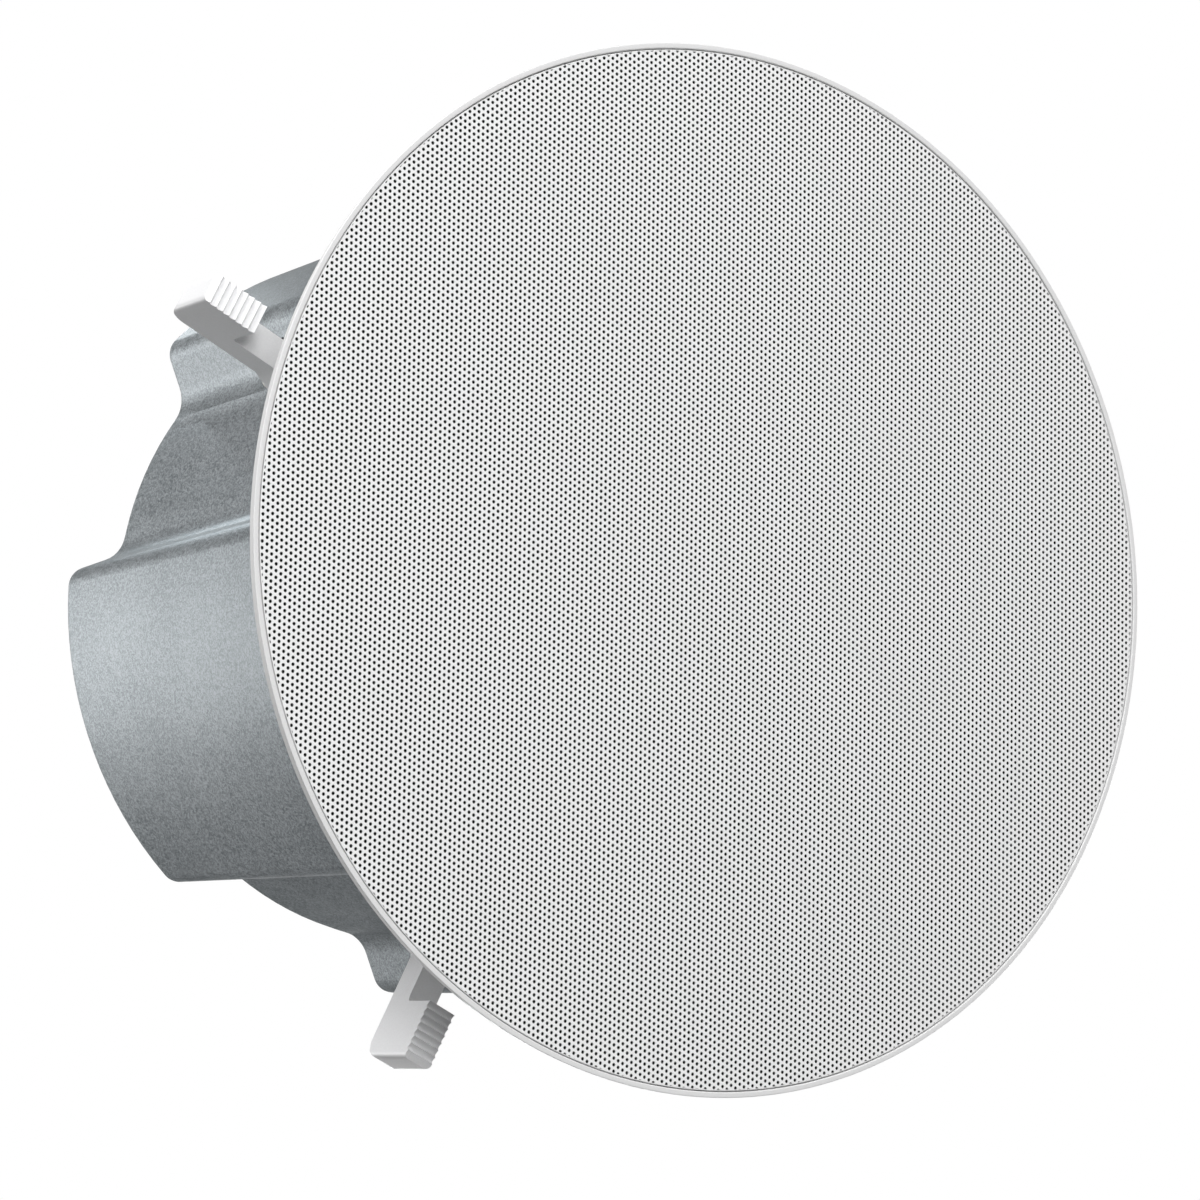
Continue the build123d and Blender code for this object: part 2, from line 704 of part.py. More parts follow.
# Tweeter bridge: two arms, a hub and a post on the basket rim at each end
bridge_screw_points = [polar(screw_circle, angle) for angle in bridge_screw_angles]
hub_in = bridge_hub_r - hub_wall
seat_front = bridge_front + bridge_hub_h - tweeter_seat_t
with BuildPart() as tweeter_bridge:
    with BuildSketch(Plane.XY.offset(bridge_front)):
        SlotCenterToCenter(2 * screw_circle, bridge_w)
        Circle(rim_r, mode=Mode.INTERSECT)
        Circle(bridge_hub_r)
    extrude(amount=bridge_t)
    fillet(tweeter_bridge.edges().group_by(Axis.Z)[0], bridge_round)
    with BuildSketch(Plane.XY.offset(bridge_back)):
        Circle(bridge_hub_r)
    extrude(amount=bridge_hub_h - bridge_t)
    with BuildSketch(Plane.XY.offset(bridge_back)):
        with Locations(*bridge_screw_points):
            Circle(post_r)
    extrude(amount=rim_front - bridge_back)
    with BuildSketch(Plane.XY.offset(bridge_front)):
        Circle(hub_in)
    extrude(amount=bridge_hub_h - tweeter_seat_t, mode=Mode.SUBTRACT)
    with BuildSketch(Plane.XY.offset(seat_front)):
        Circle(hub_in - tweeter_seat_w)
    extrude(amount=tweeter_seat_t, mode=Mode.SUBTRACT)
    with BuildSketch(Plane.XY.offset(bridge_front)):
        with Locations(*bridge_screw_points):
            Circle(screw_hole_r)
    extrude(amount=rim_front - bridge_front, mode=Mode.SUBTRACT)
    with BuildSketch(Plane.XY.offset(bridge_front)):
        with Locations(*bridge_screw_points):
            Circle(screw_head_r + head_clear)
    extrude(amount=screw_head_h, mode=Mode.SUBTRACT)
save(tweeter_bridge, "tweeter_bridge")

bridge_screw_l = rim_front - bridge_front - screw_head_h + rim_t + baffle_t + screw_bite
save(pan_screws(bridge_screw_points, bridge_front + screw_head_h, bridge_screw_l), "bridge_screws")

faceplate_r = hub_in - tweeter_clear
faceplate_front = seat_front - faceplate_t
tweeter_faceplate = turned(
    [
        (dome_r + tweeter_clear, seat_front),
        (dome_r + tweeter_clear, seat_front - dome_rise),
        (dome_r + flare_w, faceplate_front),
        (faceplate_r, faceplate_front),
        (faceplate_r, seat_front),
    ]
)
save(tweeter_faceplate, "tweeter_faceplate")

save(dome(dome_r, dome_rise, dome_t, seat_front), "tweeter_dome")

tweeter_magnet_r = hub_in - tweeter_seat_w - tweeter_clear
tweeter_magnet = turned(
    [
        (0, seat_front),
        (tweeter_magnet_r, seat_front),
        (tweeter_magnet_r, seat_front + tweeter_magnet_h),
        (0, seat_front + tweeter_magnet_h),
    ]
)
save(tweeter_magnet, "tweeter_magnet")

# Crossover: a board on standoffs, its parts hanging below it
board_top = can_inside - standoff_h
board_low = board_top - board_t
with BuildPart() as crossover_standoffs:
    with BuildSketch(Plane.XY.offset(board_top)):
        with Locations((0, board_at_y)):
            with GridLocations(board_x - 2 * standoff_inset, board_y - 2 * standoff_inset, 2, 2):
                RegularPolygon(radius=standoff_r, side_count=6)
    extrude(amount=standoff_h)
save(crossover_standoffs, "crossover_standoffs")

with BuildPart() as crossover_board:
    with BuildSketch(Plane.XY.offset(board_low)):
        with Locations((0, board_at_y)):
            Rectangle(board_x, board_y)
    extrude(amount=board_t)
save(crossover_board, "crossover_board")

with BuildPart() as crossover_coils:
    with BuildSketch(Plane.XY.offset(board_low)):
        with Locations((0, board_at_y + coil_at_y)):
            with GridLocations(coil_space, 0, 2, 1):
                Circle(coil_r)
                Circle(coil_eye_r, mode=Mode.SUBTRACT)
    extrude(amount=-coil_h)
save(crossover_coils, "crossover_coils")

with BuildPart() as crossover_capacitors:
    for side in (-1, 1):
        end_at = Plane(
            origin=(side * capacitor_space / 2 - capacitor_l / 2, board_at_y + capacitor_at_y, board_low),
            x_dir=(0, 1, 0),
            z_dir=(1, 0, 0),
        )
        with BuildSketch(end_at):
            with Locations((0, -capacitor_r + capacitor_flat)):
                Circle(capacitor_r)
            Rectangle(
                2 * capacitor_r, 2 * capacitor_r, align=(Align.CENTER, Align.MIN), mode=Mode.SUBTRACT
            )
        extrude(amount=capacitor_l)
save(crossover_capacitors, "crossover_capacitors")

with BuildPart() as crossover_resistor:
    with BuildSketch(Plane.XY.offset(board_low)):
        with Locations((0, board_at_y + resistor_at_y)):
            Rectangle(resistor_l, resistor_w)
    extrude(amount=-resistor_w)
save(crossover_resistor, "crossover_resistor")

# Terminal cup, sunk into the can's back, with a socket for each push terminal
cup_floor = can_depth - cup_depth
socket_top = can_depth - tower_top
button_top = can_depth + button_proud
button_low = button_top - button_h
spring_low = cup_floor + cup_wall
with BuildPart() as terminal_cup:
    with BuildSketch(Plane.XY.offset(can_depth)):
        with Locations((0, cup_at_y)):
            RectangleRounded(cup_flange_x, cup_flange_y, cup_corner)
            with GridLocations(cup_screw_x, cup_screw_y, 2, 2):
                Circle(screw_hole_r, mode=Mode.SUBTRACT)
    extrude(amount=cup_flange_t)
    with BuildSketch(Plane.XY.offset(cup_floor)):
        with Locations((0, cup_at_y)):
            RectangleRounded(cup_x - 2 * cup_clear, cup_y - 2 * cup_clear, cup_corner - cup_clear)
    extrude(amount=cup_depth)
    with BuildSketch(Plane.XY.offset(cup_floor + cup_wall)):
        with Locations((0, cup_at_y)):
            Rectangle(cup_x - 2 * cup_clear - 2 * cup_wall, cup_y - 2 * cup_clear - 2 * cup_wall)
    extrude(amount=cup_depth + cup_flange_t, mode=Mode.SUBTRACT)
    with BuildSketch(Plane.XY.offset(cup_floor + cup_wall)):
        with Locations((-tower_space / 2, cup_at_y), (tower_space / 2, cup_at_y)):
            Rectangle(tower_x, tower_y)
            Rectangle(button_x + 2 * button_clear, button_y + 2 * button_clear, mode=Mode.SUBTRACT)
    extrude(amount=socket_top - cup_floor - cup_wall)
save(terminal_cup, "terminal_cup")

cup_screw_points = [
    (x * cup_screw_x / 2, cup_at_y + y * cup_screw_y / 2) for x in (-1, 1) for y in (-1, 1)
]
with BuildPart() as terminal_screws:
    with BuildSketch(Plane.XY.offset(can_depth + cup_flange_t)):
        with Locations(*cup_screw_points):
            Circle(screw_head_r)
    extrude(amount=screw_head_h)
    fillet(terminal_screws.edges().group_by(Axis.Z)[-1], screw_head_h / 2)
    with BuildSketch(Plane.XY.offset(can_depth + cup_flange_t)):
        with Locations(*cup_screw_points):
            Circle(screw_r)
    extrude(amount=-cup_flange_t - can_wall - screw_bite / 2)
save(terminal_screws, "terminal_screws")

for side, pole in ((-1, "red"), (1, "black")):
    at = (side * tower_space / 2, cup_at_y)
    with BuildPart() as terminal_button:
        with BuildSketch(Plane.XY.offset(button_low)):
            with Locations(at):
                Rectangle(button_x, button_y)
        extrude(amount=button_h)
        fillet(terminal_button.edges().group_by(Axis.Z)[-1], button_round)
        across = Plane(
            origin=(at[0] - button_x, at[1], button_top - wire_hole_drop), x_dir=(0, 1, 0), z_dir=(1, 0, 0)
        )
        with BuildSketch(across):
            Circle(wire_hole_r)
        extrude(amount=2 * button_x, mode=Mode.SUBTRACT)
    save(terminal_button, f"terminal_button_{pole}")

    with BuildPart() as terminal_spring:
        with BuildSketch(Plane.XY.offset(spring_low)):
            with Locations(at):
                Circle(spring_r)
                Circle(spring_r - spring_wire, mode=Mode.SUBTRACT)
        extrude(amount=button_low - spring_low)
    save(terminal_spring, f"terminal_spring_{pole}")

# Safety loop: an angle bracket riveted to the can's back, with a hole for a safety cable
with BuildPart() as safety_loop:
    with BuildSketch(Plane.XZ) as bracket:
        with BuildLine():
            Polyline(
                (loop_at_x, can_depth),
                (loop_at_x + loop_l, can_depth),
                (loop_at_x + loop_l, can_depth + loop_t),
                (loop_at_x + loop_t, can_depth + loop_t),
                (loop_at_x + loop_t, can_depth + loop_h),
                (loop_at_x, can_depth + loop_h),
                close=True,
            )
        make_face()
        outer_bend = bracket.vertices().sort_by(Axis.Y)[:2]
        fillet(outer_bend.sort_by(Axis.X)[0], loop_bend + loop_t)
        inner_face = loop_at_x + loop_t
        inner_bend = bracket.vertices().filter_by(lambda corner: abs(corner.X - inner_face) < loop_t / 2)
        fillet(inner_bend.sort_by(Axis.Y)[0], loop_bend)
    extrude(amount=loop_w / 2, both=True)
    fillet(safety_loop.edges().filter_by(Axis.X).group_by(Axis.Z)[-1], loop_round)
    with BuildSketch(Plane.YZ.offset(loop_at_x)):
        with Locations((0, can_depth + loop_hole_h)):
            Circle(loop_hole_r)
    extrude(amount=loop_t, mode=Mode.SUBTRACT)
    with BuildSketch(Plane.XY.offset(can_depth)):
        with Locations(*rivet_points):
            Circle(rivet_r + screw_clear)
    extrude(amount=loop_t, mode=Mode.SUBTRACT)
save(safety_loop, "safety_loop")

with BuildPart() as loop_rivets:
    with BuildSketch(Plane.XY.offset(can_depth + loop_t)):
        with Locations(*rivet_points):
            Circle(rivet_head_r)
    extrude(amount=rivet_head_h)
    with BuildSketch(Plane.XY.offset(can_inside - rivet_head_h)):
        with Locations(*rivet_points):
            Circle(rivet_head_r)
    extrude(amount=rivet_head_h)
    with BuildSketch(Plane.XY.offset(can_inside)):
        with Locations(*rivet_points):
            Circle(rivet_r)
    extrude(amount=can_wall + loop_t)
save(loop_rivets, "loop_rivets")
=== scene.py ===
"""Looks of an in-ceiling speaker: perforated grille, trim ring, lobed can, toothed clamps, rear fittings.

Every piece is in metres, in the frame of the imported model: +Z goes up into the ceiling void, and the
grille faces down.
"""

import json
import logging
import math
from collections.abc import Sequence
from dataclasses import dataclass, field
from enum import Enum

import bpy
import numpy as np
from mathutils import Matrix, Vector


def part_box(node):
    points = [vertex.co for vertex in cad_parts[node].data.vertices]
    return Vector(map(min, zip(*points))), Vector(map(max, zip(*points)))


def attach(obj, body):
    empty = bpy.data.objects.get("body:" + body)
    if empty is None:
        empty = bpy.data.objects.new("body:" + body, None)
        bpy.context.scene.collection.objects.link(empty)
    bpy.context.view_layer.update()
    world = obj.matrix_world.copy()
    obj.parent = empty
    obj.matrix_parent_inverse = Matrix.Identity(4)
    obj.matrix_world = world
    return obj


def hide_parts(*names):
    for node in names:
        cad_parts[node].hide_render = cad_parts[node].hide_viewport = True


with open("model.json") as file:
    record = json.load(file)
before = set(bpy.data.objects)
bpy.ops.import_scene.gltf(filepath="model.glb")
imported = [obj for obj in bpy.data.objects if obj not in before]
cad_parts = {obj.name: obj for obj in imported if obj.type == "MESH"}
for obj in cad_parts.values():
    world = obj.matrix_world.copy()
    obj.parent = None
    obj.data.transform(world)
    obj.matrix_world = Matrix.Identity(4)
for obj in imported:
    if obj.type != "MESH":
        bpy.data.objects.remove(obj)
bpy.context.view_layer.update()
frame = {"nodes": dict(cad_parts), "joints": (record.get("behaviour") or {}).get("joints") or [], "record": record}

MM = 0.001
HOUSING = "housing"
MERGE = 0.002 * MM
TIDY_ANGLE = math.radians(0.4)
SHARP_ANGLE = math.radians(32.0)
CLAMPS = (1, 2, 3, 4)
# Share of Z in the normal of a face that lies flat
FLAT = 0.9
# Pull of large faces on the normals of smooth shading
NORMAL_WEIGHT = 60
# Clouding and grain of the finishes: their mix and detail, the wobble of turned rings and of threads
CLOUD_SHARE = 0.35
CLOUD_DETAIL = 3.0
GRAIN_DETAIL = 2.0
RING_WOBBLE = 0.6
THREAD_WOBBLE = 0.4
# Range of that mix from a finish's main colour to its second one
TONE_RANGE = (0.3, 1.1)

log = logging.getLogger("speaker")


def to_linear(code: str) -> tuple[float, float, float, float]:
    """Turn an sRGB hex colour into linear light.

    Args:
        code: six hex digits, with or without a leading hash.

    Returns:
        Red, green, blue and an alpha of one.
    """
    digits = code.lstrip("#")
    shades = [int(digits[i:i + 2], 16) / 255 for i in (0, 2, 4)]
    red, green, blue = [s / 12.92 if s <= 0.04045 else ((s + 0.055) / 1.055) ** 2.4 for s in shades]
    return red, green, blue, 1.0


def add_node(
    tree: bpy.types.NodeTree, kind: str, settings: dict | None = None, links: dict | None = None
) -> bpy.types.Node:
    """Add a node with its settings and links.

    Args:
        tree: the node tree to add to.
        kind: the node's type name.
        settings: values for the node's own properties, or for its input sockets.
        links: output sockets by the name or number of the input that they feed.

    Returns:
        The new node.
    """
    node = tree.nodes.new(kind)
    for name, value in (settings or {}).items():
        if isinstance(name, str) and hasattr(node, name):
            setattr(node, name, value)
        else:
            node.inputs[name].default_value = value
    for name, source in (links or {}).items():
        tree.links.new(source, node.inputs[name])
    return node


class Pattern(Enum):
    """How a surface's fine structure is laid out."""

    MOULDED = "moulded"
    SPARKLE = "sparkle"
    TURNED = "turned"
    WOVEN = "woven"


@dataclass(frozen=True)
class Finish:
    """A surface finish: what the material is, how it was made and what the eye sees of it.

    Attributes:
        name: plain name of the material and its making.
        base: main colour, sRGB hex.
        fleck: second colour of the fine structure, sRGB hex.
        grain_mm: size of the fine structure.
        relief_mm: height of the fine structure.
        roughness: middle of the roughness.
        spread: how far the roughness varies.
        metallic: share of bare metal.
        mottle_mm: size of the broad, faint clouding.
        pattern: layout of the fine structure.
        specular: strength of the clear gloss over it.
        edge: tint of its gloss where it is seen at a low angle, sRGB hex.
    """

    name: str
    base: str
    fleck: str
    grain_mm: float
    relief_mm: float
    roughness: float
    spread: float = 0.06
    metallic: float = 0.0
    mottle_mm: float = 30.0
    pattern: Pattern = Pattern.MOULDED
    specular: float = 0.5
    edge: str = "#FFFFFF"

    def material(self) -> bpy.types.Material:
        """Return the Blender material, made on first use."""
        found = bpy.data.materials.get(self.name)
        if found:
            return found
        made = bpy.data.materials.new(self.name)
        made.use_nodes = True
        tree = made.node_tree
        tree.nodes.clear()
        place = add_node(tree, "ShaderNodeTexCoord").outputs["Object"]
        grain = self._grain(tree, place)
        clouds = add_node(
            tree,
            "ShaderNodeTexNoise",
            {"Scale": 1 / (self.mottle_mm * MM), "Detail": CLOUD_DETAIL},
            {"Vector": place},
        ).outputs["Fac"]
        both = add_node(
            tree, "ShaderNodeMath", {"operation": "MULTIPLY_ADD", 1: CLOUD_SHARE}, {0: clouds, 2: grain}
        ).outputs[0]
        low, high = TONE_RANGE
        share = add_node(
            tree, "ShaderNodeMapRange", {"From Min": low, "From Max": high}, {"Value": both}
        ).outputs["Result"]
        tones = {"data_type": "RGBA", 6: to_linear(self.base), 7: to_linear(self.fleck)}
        colour = add_node(tree, "ShaderNodeMix", tones, {0: share}).outputs[2]
        sheen = add_node(
            tree,
            "ShaderNodeMapRange",
            {"To Min": self.roughness - self.spread, "To Max": self.roughness + self.spread},
            {"Value": grain},
        ).outputs["Result"]
        relief = add_node(
            tree, "ShaderNodeBump", {"Strength": 1.0, "Distance": self.relief_mm * MM}, {"Height": grain}
        ).outputs["Normal"]
        skin = add_node(
            tree,
            "ShaderNodeBsdfPrincipled",
            {
                "Metallic": self.metallic,
                "Specular IOR Level": self.specular,
                "Specular Tint": to_linear(self.edge),
            },
            {"Base Color": colour, "Roughness": sheen, "Normal": relief},
        )
        add_node(tree, "ShaderNodeOutputMaterial", None, {"Surface": skin.outputs["BSDF"]})
        return made

    def _grain(self, tree: bpy.types.NodeTree, place: bpy.types.NodeSocket) -> bpy.types.NodeSocket:
        """Lay out the fine structure.

        Args:
            tree: the material's node tree.
            place: object coordinates, in metres.

        Returns:
            A socket that runs from 0 to 1 over the fine structure.
        """
        scale = 1 / (self.grain_mm * MM)
        if self.pattern is Pattern.SPARKLE:
            cells = add_node(tree, "ShaderNodeTexVoronoi", {"Scale": scale}, {"Vector": place})
            tilt = cells.outputs["Color"]
            return add_node(tree, "ShaderNodeSeparateColor", None, {"Color": tilt}).outputs[0]
        if self.pattern is Pattern.TURNED:
            rings = {
                "bands_direction": "Z",
                "Scale": scale / math.tau,
                "Distortion": RING_WOBBLE,
                "Detail": GRAIN_DETAIL,
            }
            return add_node(tree, "ShaderNodeTexWave", rings, {"Vector": place}).outputs["Fac"]
        if self.pattern is Pattern.WOVEN:
            threads = [
                add_node(
                    tree,
                    "ShaderNodeTexWave",
                    {"bands_direction": way, "Scale": scale / math.tau, "Distortion": THREAD_WOBBLE},
                    {"Vector": place},
                ).outputs["Fac"]
                for way in ("X", "Y")
            ]
            crossing = {0: threads[0], 1: threads[1]}
            return add_node(tree, "ShaderNodeMath", {"operation": "MAXIMUM"}, crossing).outputs[0]
        noise = {"Scale": scale, "Detail": GRAIN_DETAIL}
        return add_node(tree, "ShaderNodeTexNoise", noise, {"Vector": place}).outputs["Fac"]


# Powder coat on perforated steel: a soft white with the faint orange peel of a baked coat
GRILLE_COAT = Finish("powder_coated_steel", "#F2F2F2", "#EBEBEB", 0.9, 0.004, 0.55)
# Injection-moulded white ABS: an even satin, finely etched
TRIM_ABS = Finish("white_moulded_abs", "#E2E2E2", "#DADADA", 0.5, 0.004, 0.42)
# Injection-moulded light grey ABS: a little cooler and darker than the trim
DOG_ABS = Finish("grey_moulded_abs", "#EBEBEC", "#E2E2E3", 0.5, 0.005, 0.45)
# Metallic hammer coat on sheet steel: silver grains of about the size of coarse sand, each at its own tilt
CAN_COAT = Finish(
    "sandy_silver_coat",
    "#686C6E",
    "#929698",
    grain_mm=0.4,
    relief_mm=0.012,
    roughness=0.54,
    spread=0.08,
    metallic=0.92,
    mottle_mm=45.0,
    pattern=Pattern.SPARKLE,
    specular=0.1,
    edge="#787878",
)
# Woven acoustic cloth: black thread, nearly no light back
ACOUSTIC_CLOTH = Finish(
    "black_acoustic_cloth", "#060606", "#121212", 0.4, 0.05, 0.95, 0.03, 0.0, 20.0, Pattern.WOVEN
)
# Zinc-plated steel: bright, faintly yellow-grey, fine drawing marks
ZINC_STEEL = Finish("zinc_plated_steel", "#B9B7AF", "#CFCEC8", 0.3, 0.003, 0.3, 0.08, 1.0, 8.0)
# Turned and plated motor steel: rings of the lathe
MOTOR_STEEL = Finish(
    "turned_motor_steel", "#9B9A94", "#B5B4AE", 0.5, 0.005, 0.34, 0.08, 1.0, 20.0, Pattern.TURNED
)
# Black moulded ABS of the rear fittings and the tweeter's bridge
BLACK_ABS = Finish("black_moulded_abs", "#161617", "#1F1F20", 0.5, 0.008, 0.5)
# Coloured caps of the push terminals
RED_ABS = Finish("red_moulded_abs", "#A51A14", "#B4241C", 0.6, 0.003, 0.32)
BUTTON_ABS = Finish("black_gloss_abs", "#111112", "#19191A", 0.6, 0.003, 0.32)
# Black stoved coat on the basket
BLACK_COAT = Finish("black_stoved_steel", "#131313", "#1C1C1C", 0.8, 0.006, 0.5)
# Closed-cell foam and butyl rubber
FOAM = Finish("closed_cell_foam", "#151515", "#242424", 0.6, 0.08, 0.9)
RUBBER = Finish("butyl_rubber", "#101010", "#181818", 0.5, 0.01, 0.62)
# Filled polypropylene of the cone
CONE = Finish("filled_polypropylene", "#1A1A1B", "#262627", 0.8, 0.02, 0.5)
# Resin-stiffened cloth of the spider and coated silk of the dome
SPIDER_CLOTH = Finish("resined_cloth", "#A87F45", "#C09A5E", 0.5, 0.05, 0.85, 0.05, 0.0, 12.0, Pattern.WOVEN)
DOME_SILK = Finish("coated_silk", "#1E1B1A", "#2C2827", 0.3, 0.02, 0.5, 0.05, 0.0, 6.0, Pattern.WOVEN)
# Rolled aluminium of the coil's former
ALUMINIUM = Finish("rolled_aluminium", "#C9CACC", "#D7D8DA", 0.3, 0.003, 0.35, 0.06, 1.0)
# Enamelled copper wire, wound in layers
COPPER = Finish("wound_copper_wire", "#A85A30", "#D28A58", 0.5, 0.08, 0.35, 0.08, 1.0, 10.0, Pattern.TURNED)
# Sintered ferrite of the magnets
FERRITE = Finish("sintered_ferrite", "#2B2B2D", "#39393B", 0.6, 0.02, 0.6)
# Crossover: masked glass epoxy, turned brass, shrunk film, cemented ceramic
BOARD = Finish("masked_glass_epoxy", "#1D5A30", "#276B3B", 0.7, 0.02, 0.4)
BRASS = Finish("turned_brass", "#B8934A", "#CDAA62", 0.3, 0.004, 0.3, 0.06, 1.0, 8.0, Pattern.TURNED)
FILM = Finish("shrunk_film", "#C28E1E", "#D29F30", 0.8, 0.004, 0.28)
CERAMIC = Finish("cemented_ceramic", "#D8D3C6", "#C9C3B4", 0.5, 0.03, 0.8)


def only(piece: bpy.types.Object) -> None:
    """Make a piece the one that is selected and active, in object mode."""
    if bpy.context.object and bpy.context.object.mode != "OBJECT":
        bpy.ops.object.mode_set(mode="OBJECT")
    bpy.ops.object.select_all(action="DESELECT")
    piece.select_set(True)
    bpy.context.view_layer.objects.active = piece


def edit_all(piece: bpy.types.Object) -> None:
    """Open a piece in edit mode with all of it selected."""
    only(piece)
    bpy.ops.object.mode_set(mode="EDIT")
    bpy.ops.mesh.select_all(action="SELECT")


def apply_modifier(piece: bpy.types.Object, kind: str, **settings: object) -> None:
    """Add a modifier to a piece and apply it.

    Args:
        piece: the piece to change.
        kind: the modifier's type name.
        settings: the modifier's properties.
    """
    only(piece)
    modifier = piece.modifiers.new(kind.lower(), kind)
    for name, value in settings.items():
        setattr(modifier, name, value)
    bpy.ops.object.modifier_apply(modifier=modifier.name)


def place_points(piece: bpy.types.Object, points: np.ndarray) -> None:
    """Move a piece's vertices to new places.

    Args:
        piece: the piece, in object mode.
        points: one row of coordinates for each vertex, in metres.
    """
    piece.data.vertices.foreach_set("co", np.asarray(points, dtype=np.float32).ravel())
    piece.data.update()


def read_points(piece: bpy.types.Object) -> np.ndarray:
    """Return a piece's vertices as rows of coordinates, in metres."""
    points = np.zeros(len(piece.data.vertices) * 3, np.float32)
    piece.data.vertices.foreach_get("co", points)
    return points.reshape(-1, 3).astype(float)


def closed_line(name: str, points: Sequence[tuple[float, float, float]]) -> bpy.types.Object:
    """Start a piece as a closed line of edges, from a circle that is pulled to shape.

    Args:
        name: the piece's name.
        points: the line's corners in order, in metres.

    Returns:
        The new piece.
    """
    bpy.ops.object.select_all(action="DESELECT")
    bpy.ops.mesh.primitive_circle_add(vertices=len(points), radius=1.0, fill_type="NOTHING")
    piece = bpy.context.object
    piece.name = name
    place_points(piece, np.array(points))
    return piece


def turned_piece(
    name: str, section: Sequence[tuple[float, float]], centre: Vector, steps: int
) -> bpy.types.Object:
    """Turn a closed half section about a line parallel to Z.

    Args:
        name: the piece's name.
        section: the section's corners as radius and height, in metres.
        centre: a point on the line.
        steps: facets round the line.

    Returns:
        The turned piece.
    """
    piece = closed_line(name, [(centre.x + radius, centre.y, height) for radius, height in section])
    edit_all(piece)
    bpy.ops.mesh.spin(steps=steps, angle=math.tau, center=centre, axis=(0, 0, 1))
    bpy.ops.mesh.select_all(action="SELECT")
    bpy.ops.mesh.remove_doubles(threshold=MERGE)
    bpy.ops.mesh.normals_make_consistent(inside=False)
    bpy.ops.object.mode_set(mode="OBJECT")
    return piece


def copy_of_node(node: str, name: str) -> bpy.types.Object:
    """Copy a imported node's mesh into a piece whose triangles are joined and whose flat faces are whole.

    Args:
        node: the node to copy.
        name: the piece's name.

    Returns:
        The new piece.
    """
    piece = bpy.data.objects.new(name, frame["nodes"][node].data.copy())
    bpy.context.scene.collection.objects.link(piece)
    edit_all(piece)
    bpy.ops.mesh.remove_doubles(threshold=MERGE)
    bpy.ops.mesh.customdata_custom_splitnormals_clear()
    bpy.ops.mesh.dissolve_limited(angle_limit=TIDY_ANGLE)
    bpy.ops.object.mode_set(mode="OBJECT")
    return piece


def smooth(piece: bpy.types.Object, angle: float = SHARP_ANGLE) -> None:
    """Shade a piece smooth, with normals that keep its flats flat.

    Args:
        piece: the piece to shade.
        angle: angle between two faces above which their edge stays sharp.
    """
    only(piece)
    bpy.ops.object.shade_smooth_by_angle(angle=angle)
    apply_modifier(piece, "WEIGHTED_NORMAL", keep_sharp=True, weight=NORMAL_WEIGHT)


def round_edges(piece: bpy.types.Object, width_mm: float, segments: int = 2) -> None:
    """Round a piece's sharp edges.

    Args:
        piece: the piece to change.
        width_mm: the rounding's width.
        segments: facets across the rounding.
    """
    apply_modifier(
        piece, "BEVEL", width=width_mm * MM, segments=segments, limit_method="ANGLE", angle_limit=SHARP_ANGLE
    )


def prism(name: str, outline: Sequence[tuple[float, float, float]], way: Vector) -> bpy.types.Object:
    """Fill a flat outline and draw it out to a solid.

    Args:
        name: the piece's name.
        outline: the outline's corners in order, in metres.
        way: how far and which way it is drawn out.

    Returns:
        The solid.
    """
    piece = closed_line(name, outline)
    edit_all(piece)
    bpy.ops.mesh.edge_face_add()
    bpy.ops.mesh.extrude_region_move(TRANSFORM_OT_translate={"value": way})
    bpy.ops.mesh.select_all(action="SELECT")
    bpy.ops.mesh.normals_make_consistent(inside=False)
    bpy.ops.object.mode_set(mode="OBJECT")
    return piece


def cut(piece: bpy.types.Object, tool: bpy.types.Object, operation: str) -> None:
    """Cut a piece with a tool, which is used up.

    Args:
        piece: the piece to change.
        tool: the solid to cut with.
        operation: INTERSECT keeps what lies inside the tool, DIFFERENCE what lies outside.
    """
    apply_modifier(piece, "BOOLEAN", object=tool, operation=operation, solver="EXACT")
    bpy.data.objects.remove(tool)


def turned_copy(piece: bpy.types.Object, name: str, turn: Matrix) -> bpy.types.Object:
    """Copy a piece with its own mesh, turned about the part's axis and shaded smooth.

    Args:
        piece: the piece to copy.
        name: the copy's name.
        turn: the rotation.

    Returns:
        The copy.
    """
    copy = bpy.data.objects.new(name, piece.data.copy())
    bpy.context.scene.collection.objects.link(copy)
    copy.data.transform(turn)
    smooth(copy)
    return copy


def hand_over(piece: bpy.types.Object, finish: Finish, body: str, nodes: Sequence[str]) -> None:
    """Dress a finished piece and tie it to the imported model.

    Args:
        piece: the finished piece.
        finish: its surface.
        body: the body that it moves with.
        nodes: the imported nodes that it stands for.
    """
    piece.data.materials.clear()
    piece.data.materials.append(finish.material())
    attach(piece, body)
    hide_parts(*nodes)
    log.info("%s: %d faces on %s", piece.name, len(piece.data.polygons), body)


def joint_place(name: str) -> Vector:
    """Return the point of a joint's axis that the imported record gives, in metres."""
    return Vector(next(joint["pos_m"] for joint in frame["joints"] if joint["name"] == name))


def mount_radius(name: str) -> float:
    """Return a round mount's radius, in metres."""
    return next(mount["dims"]["r_mm"] for mount in frame["record"]["mounts"] if mount["name"] == name) * MM


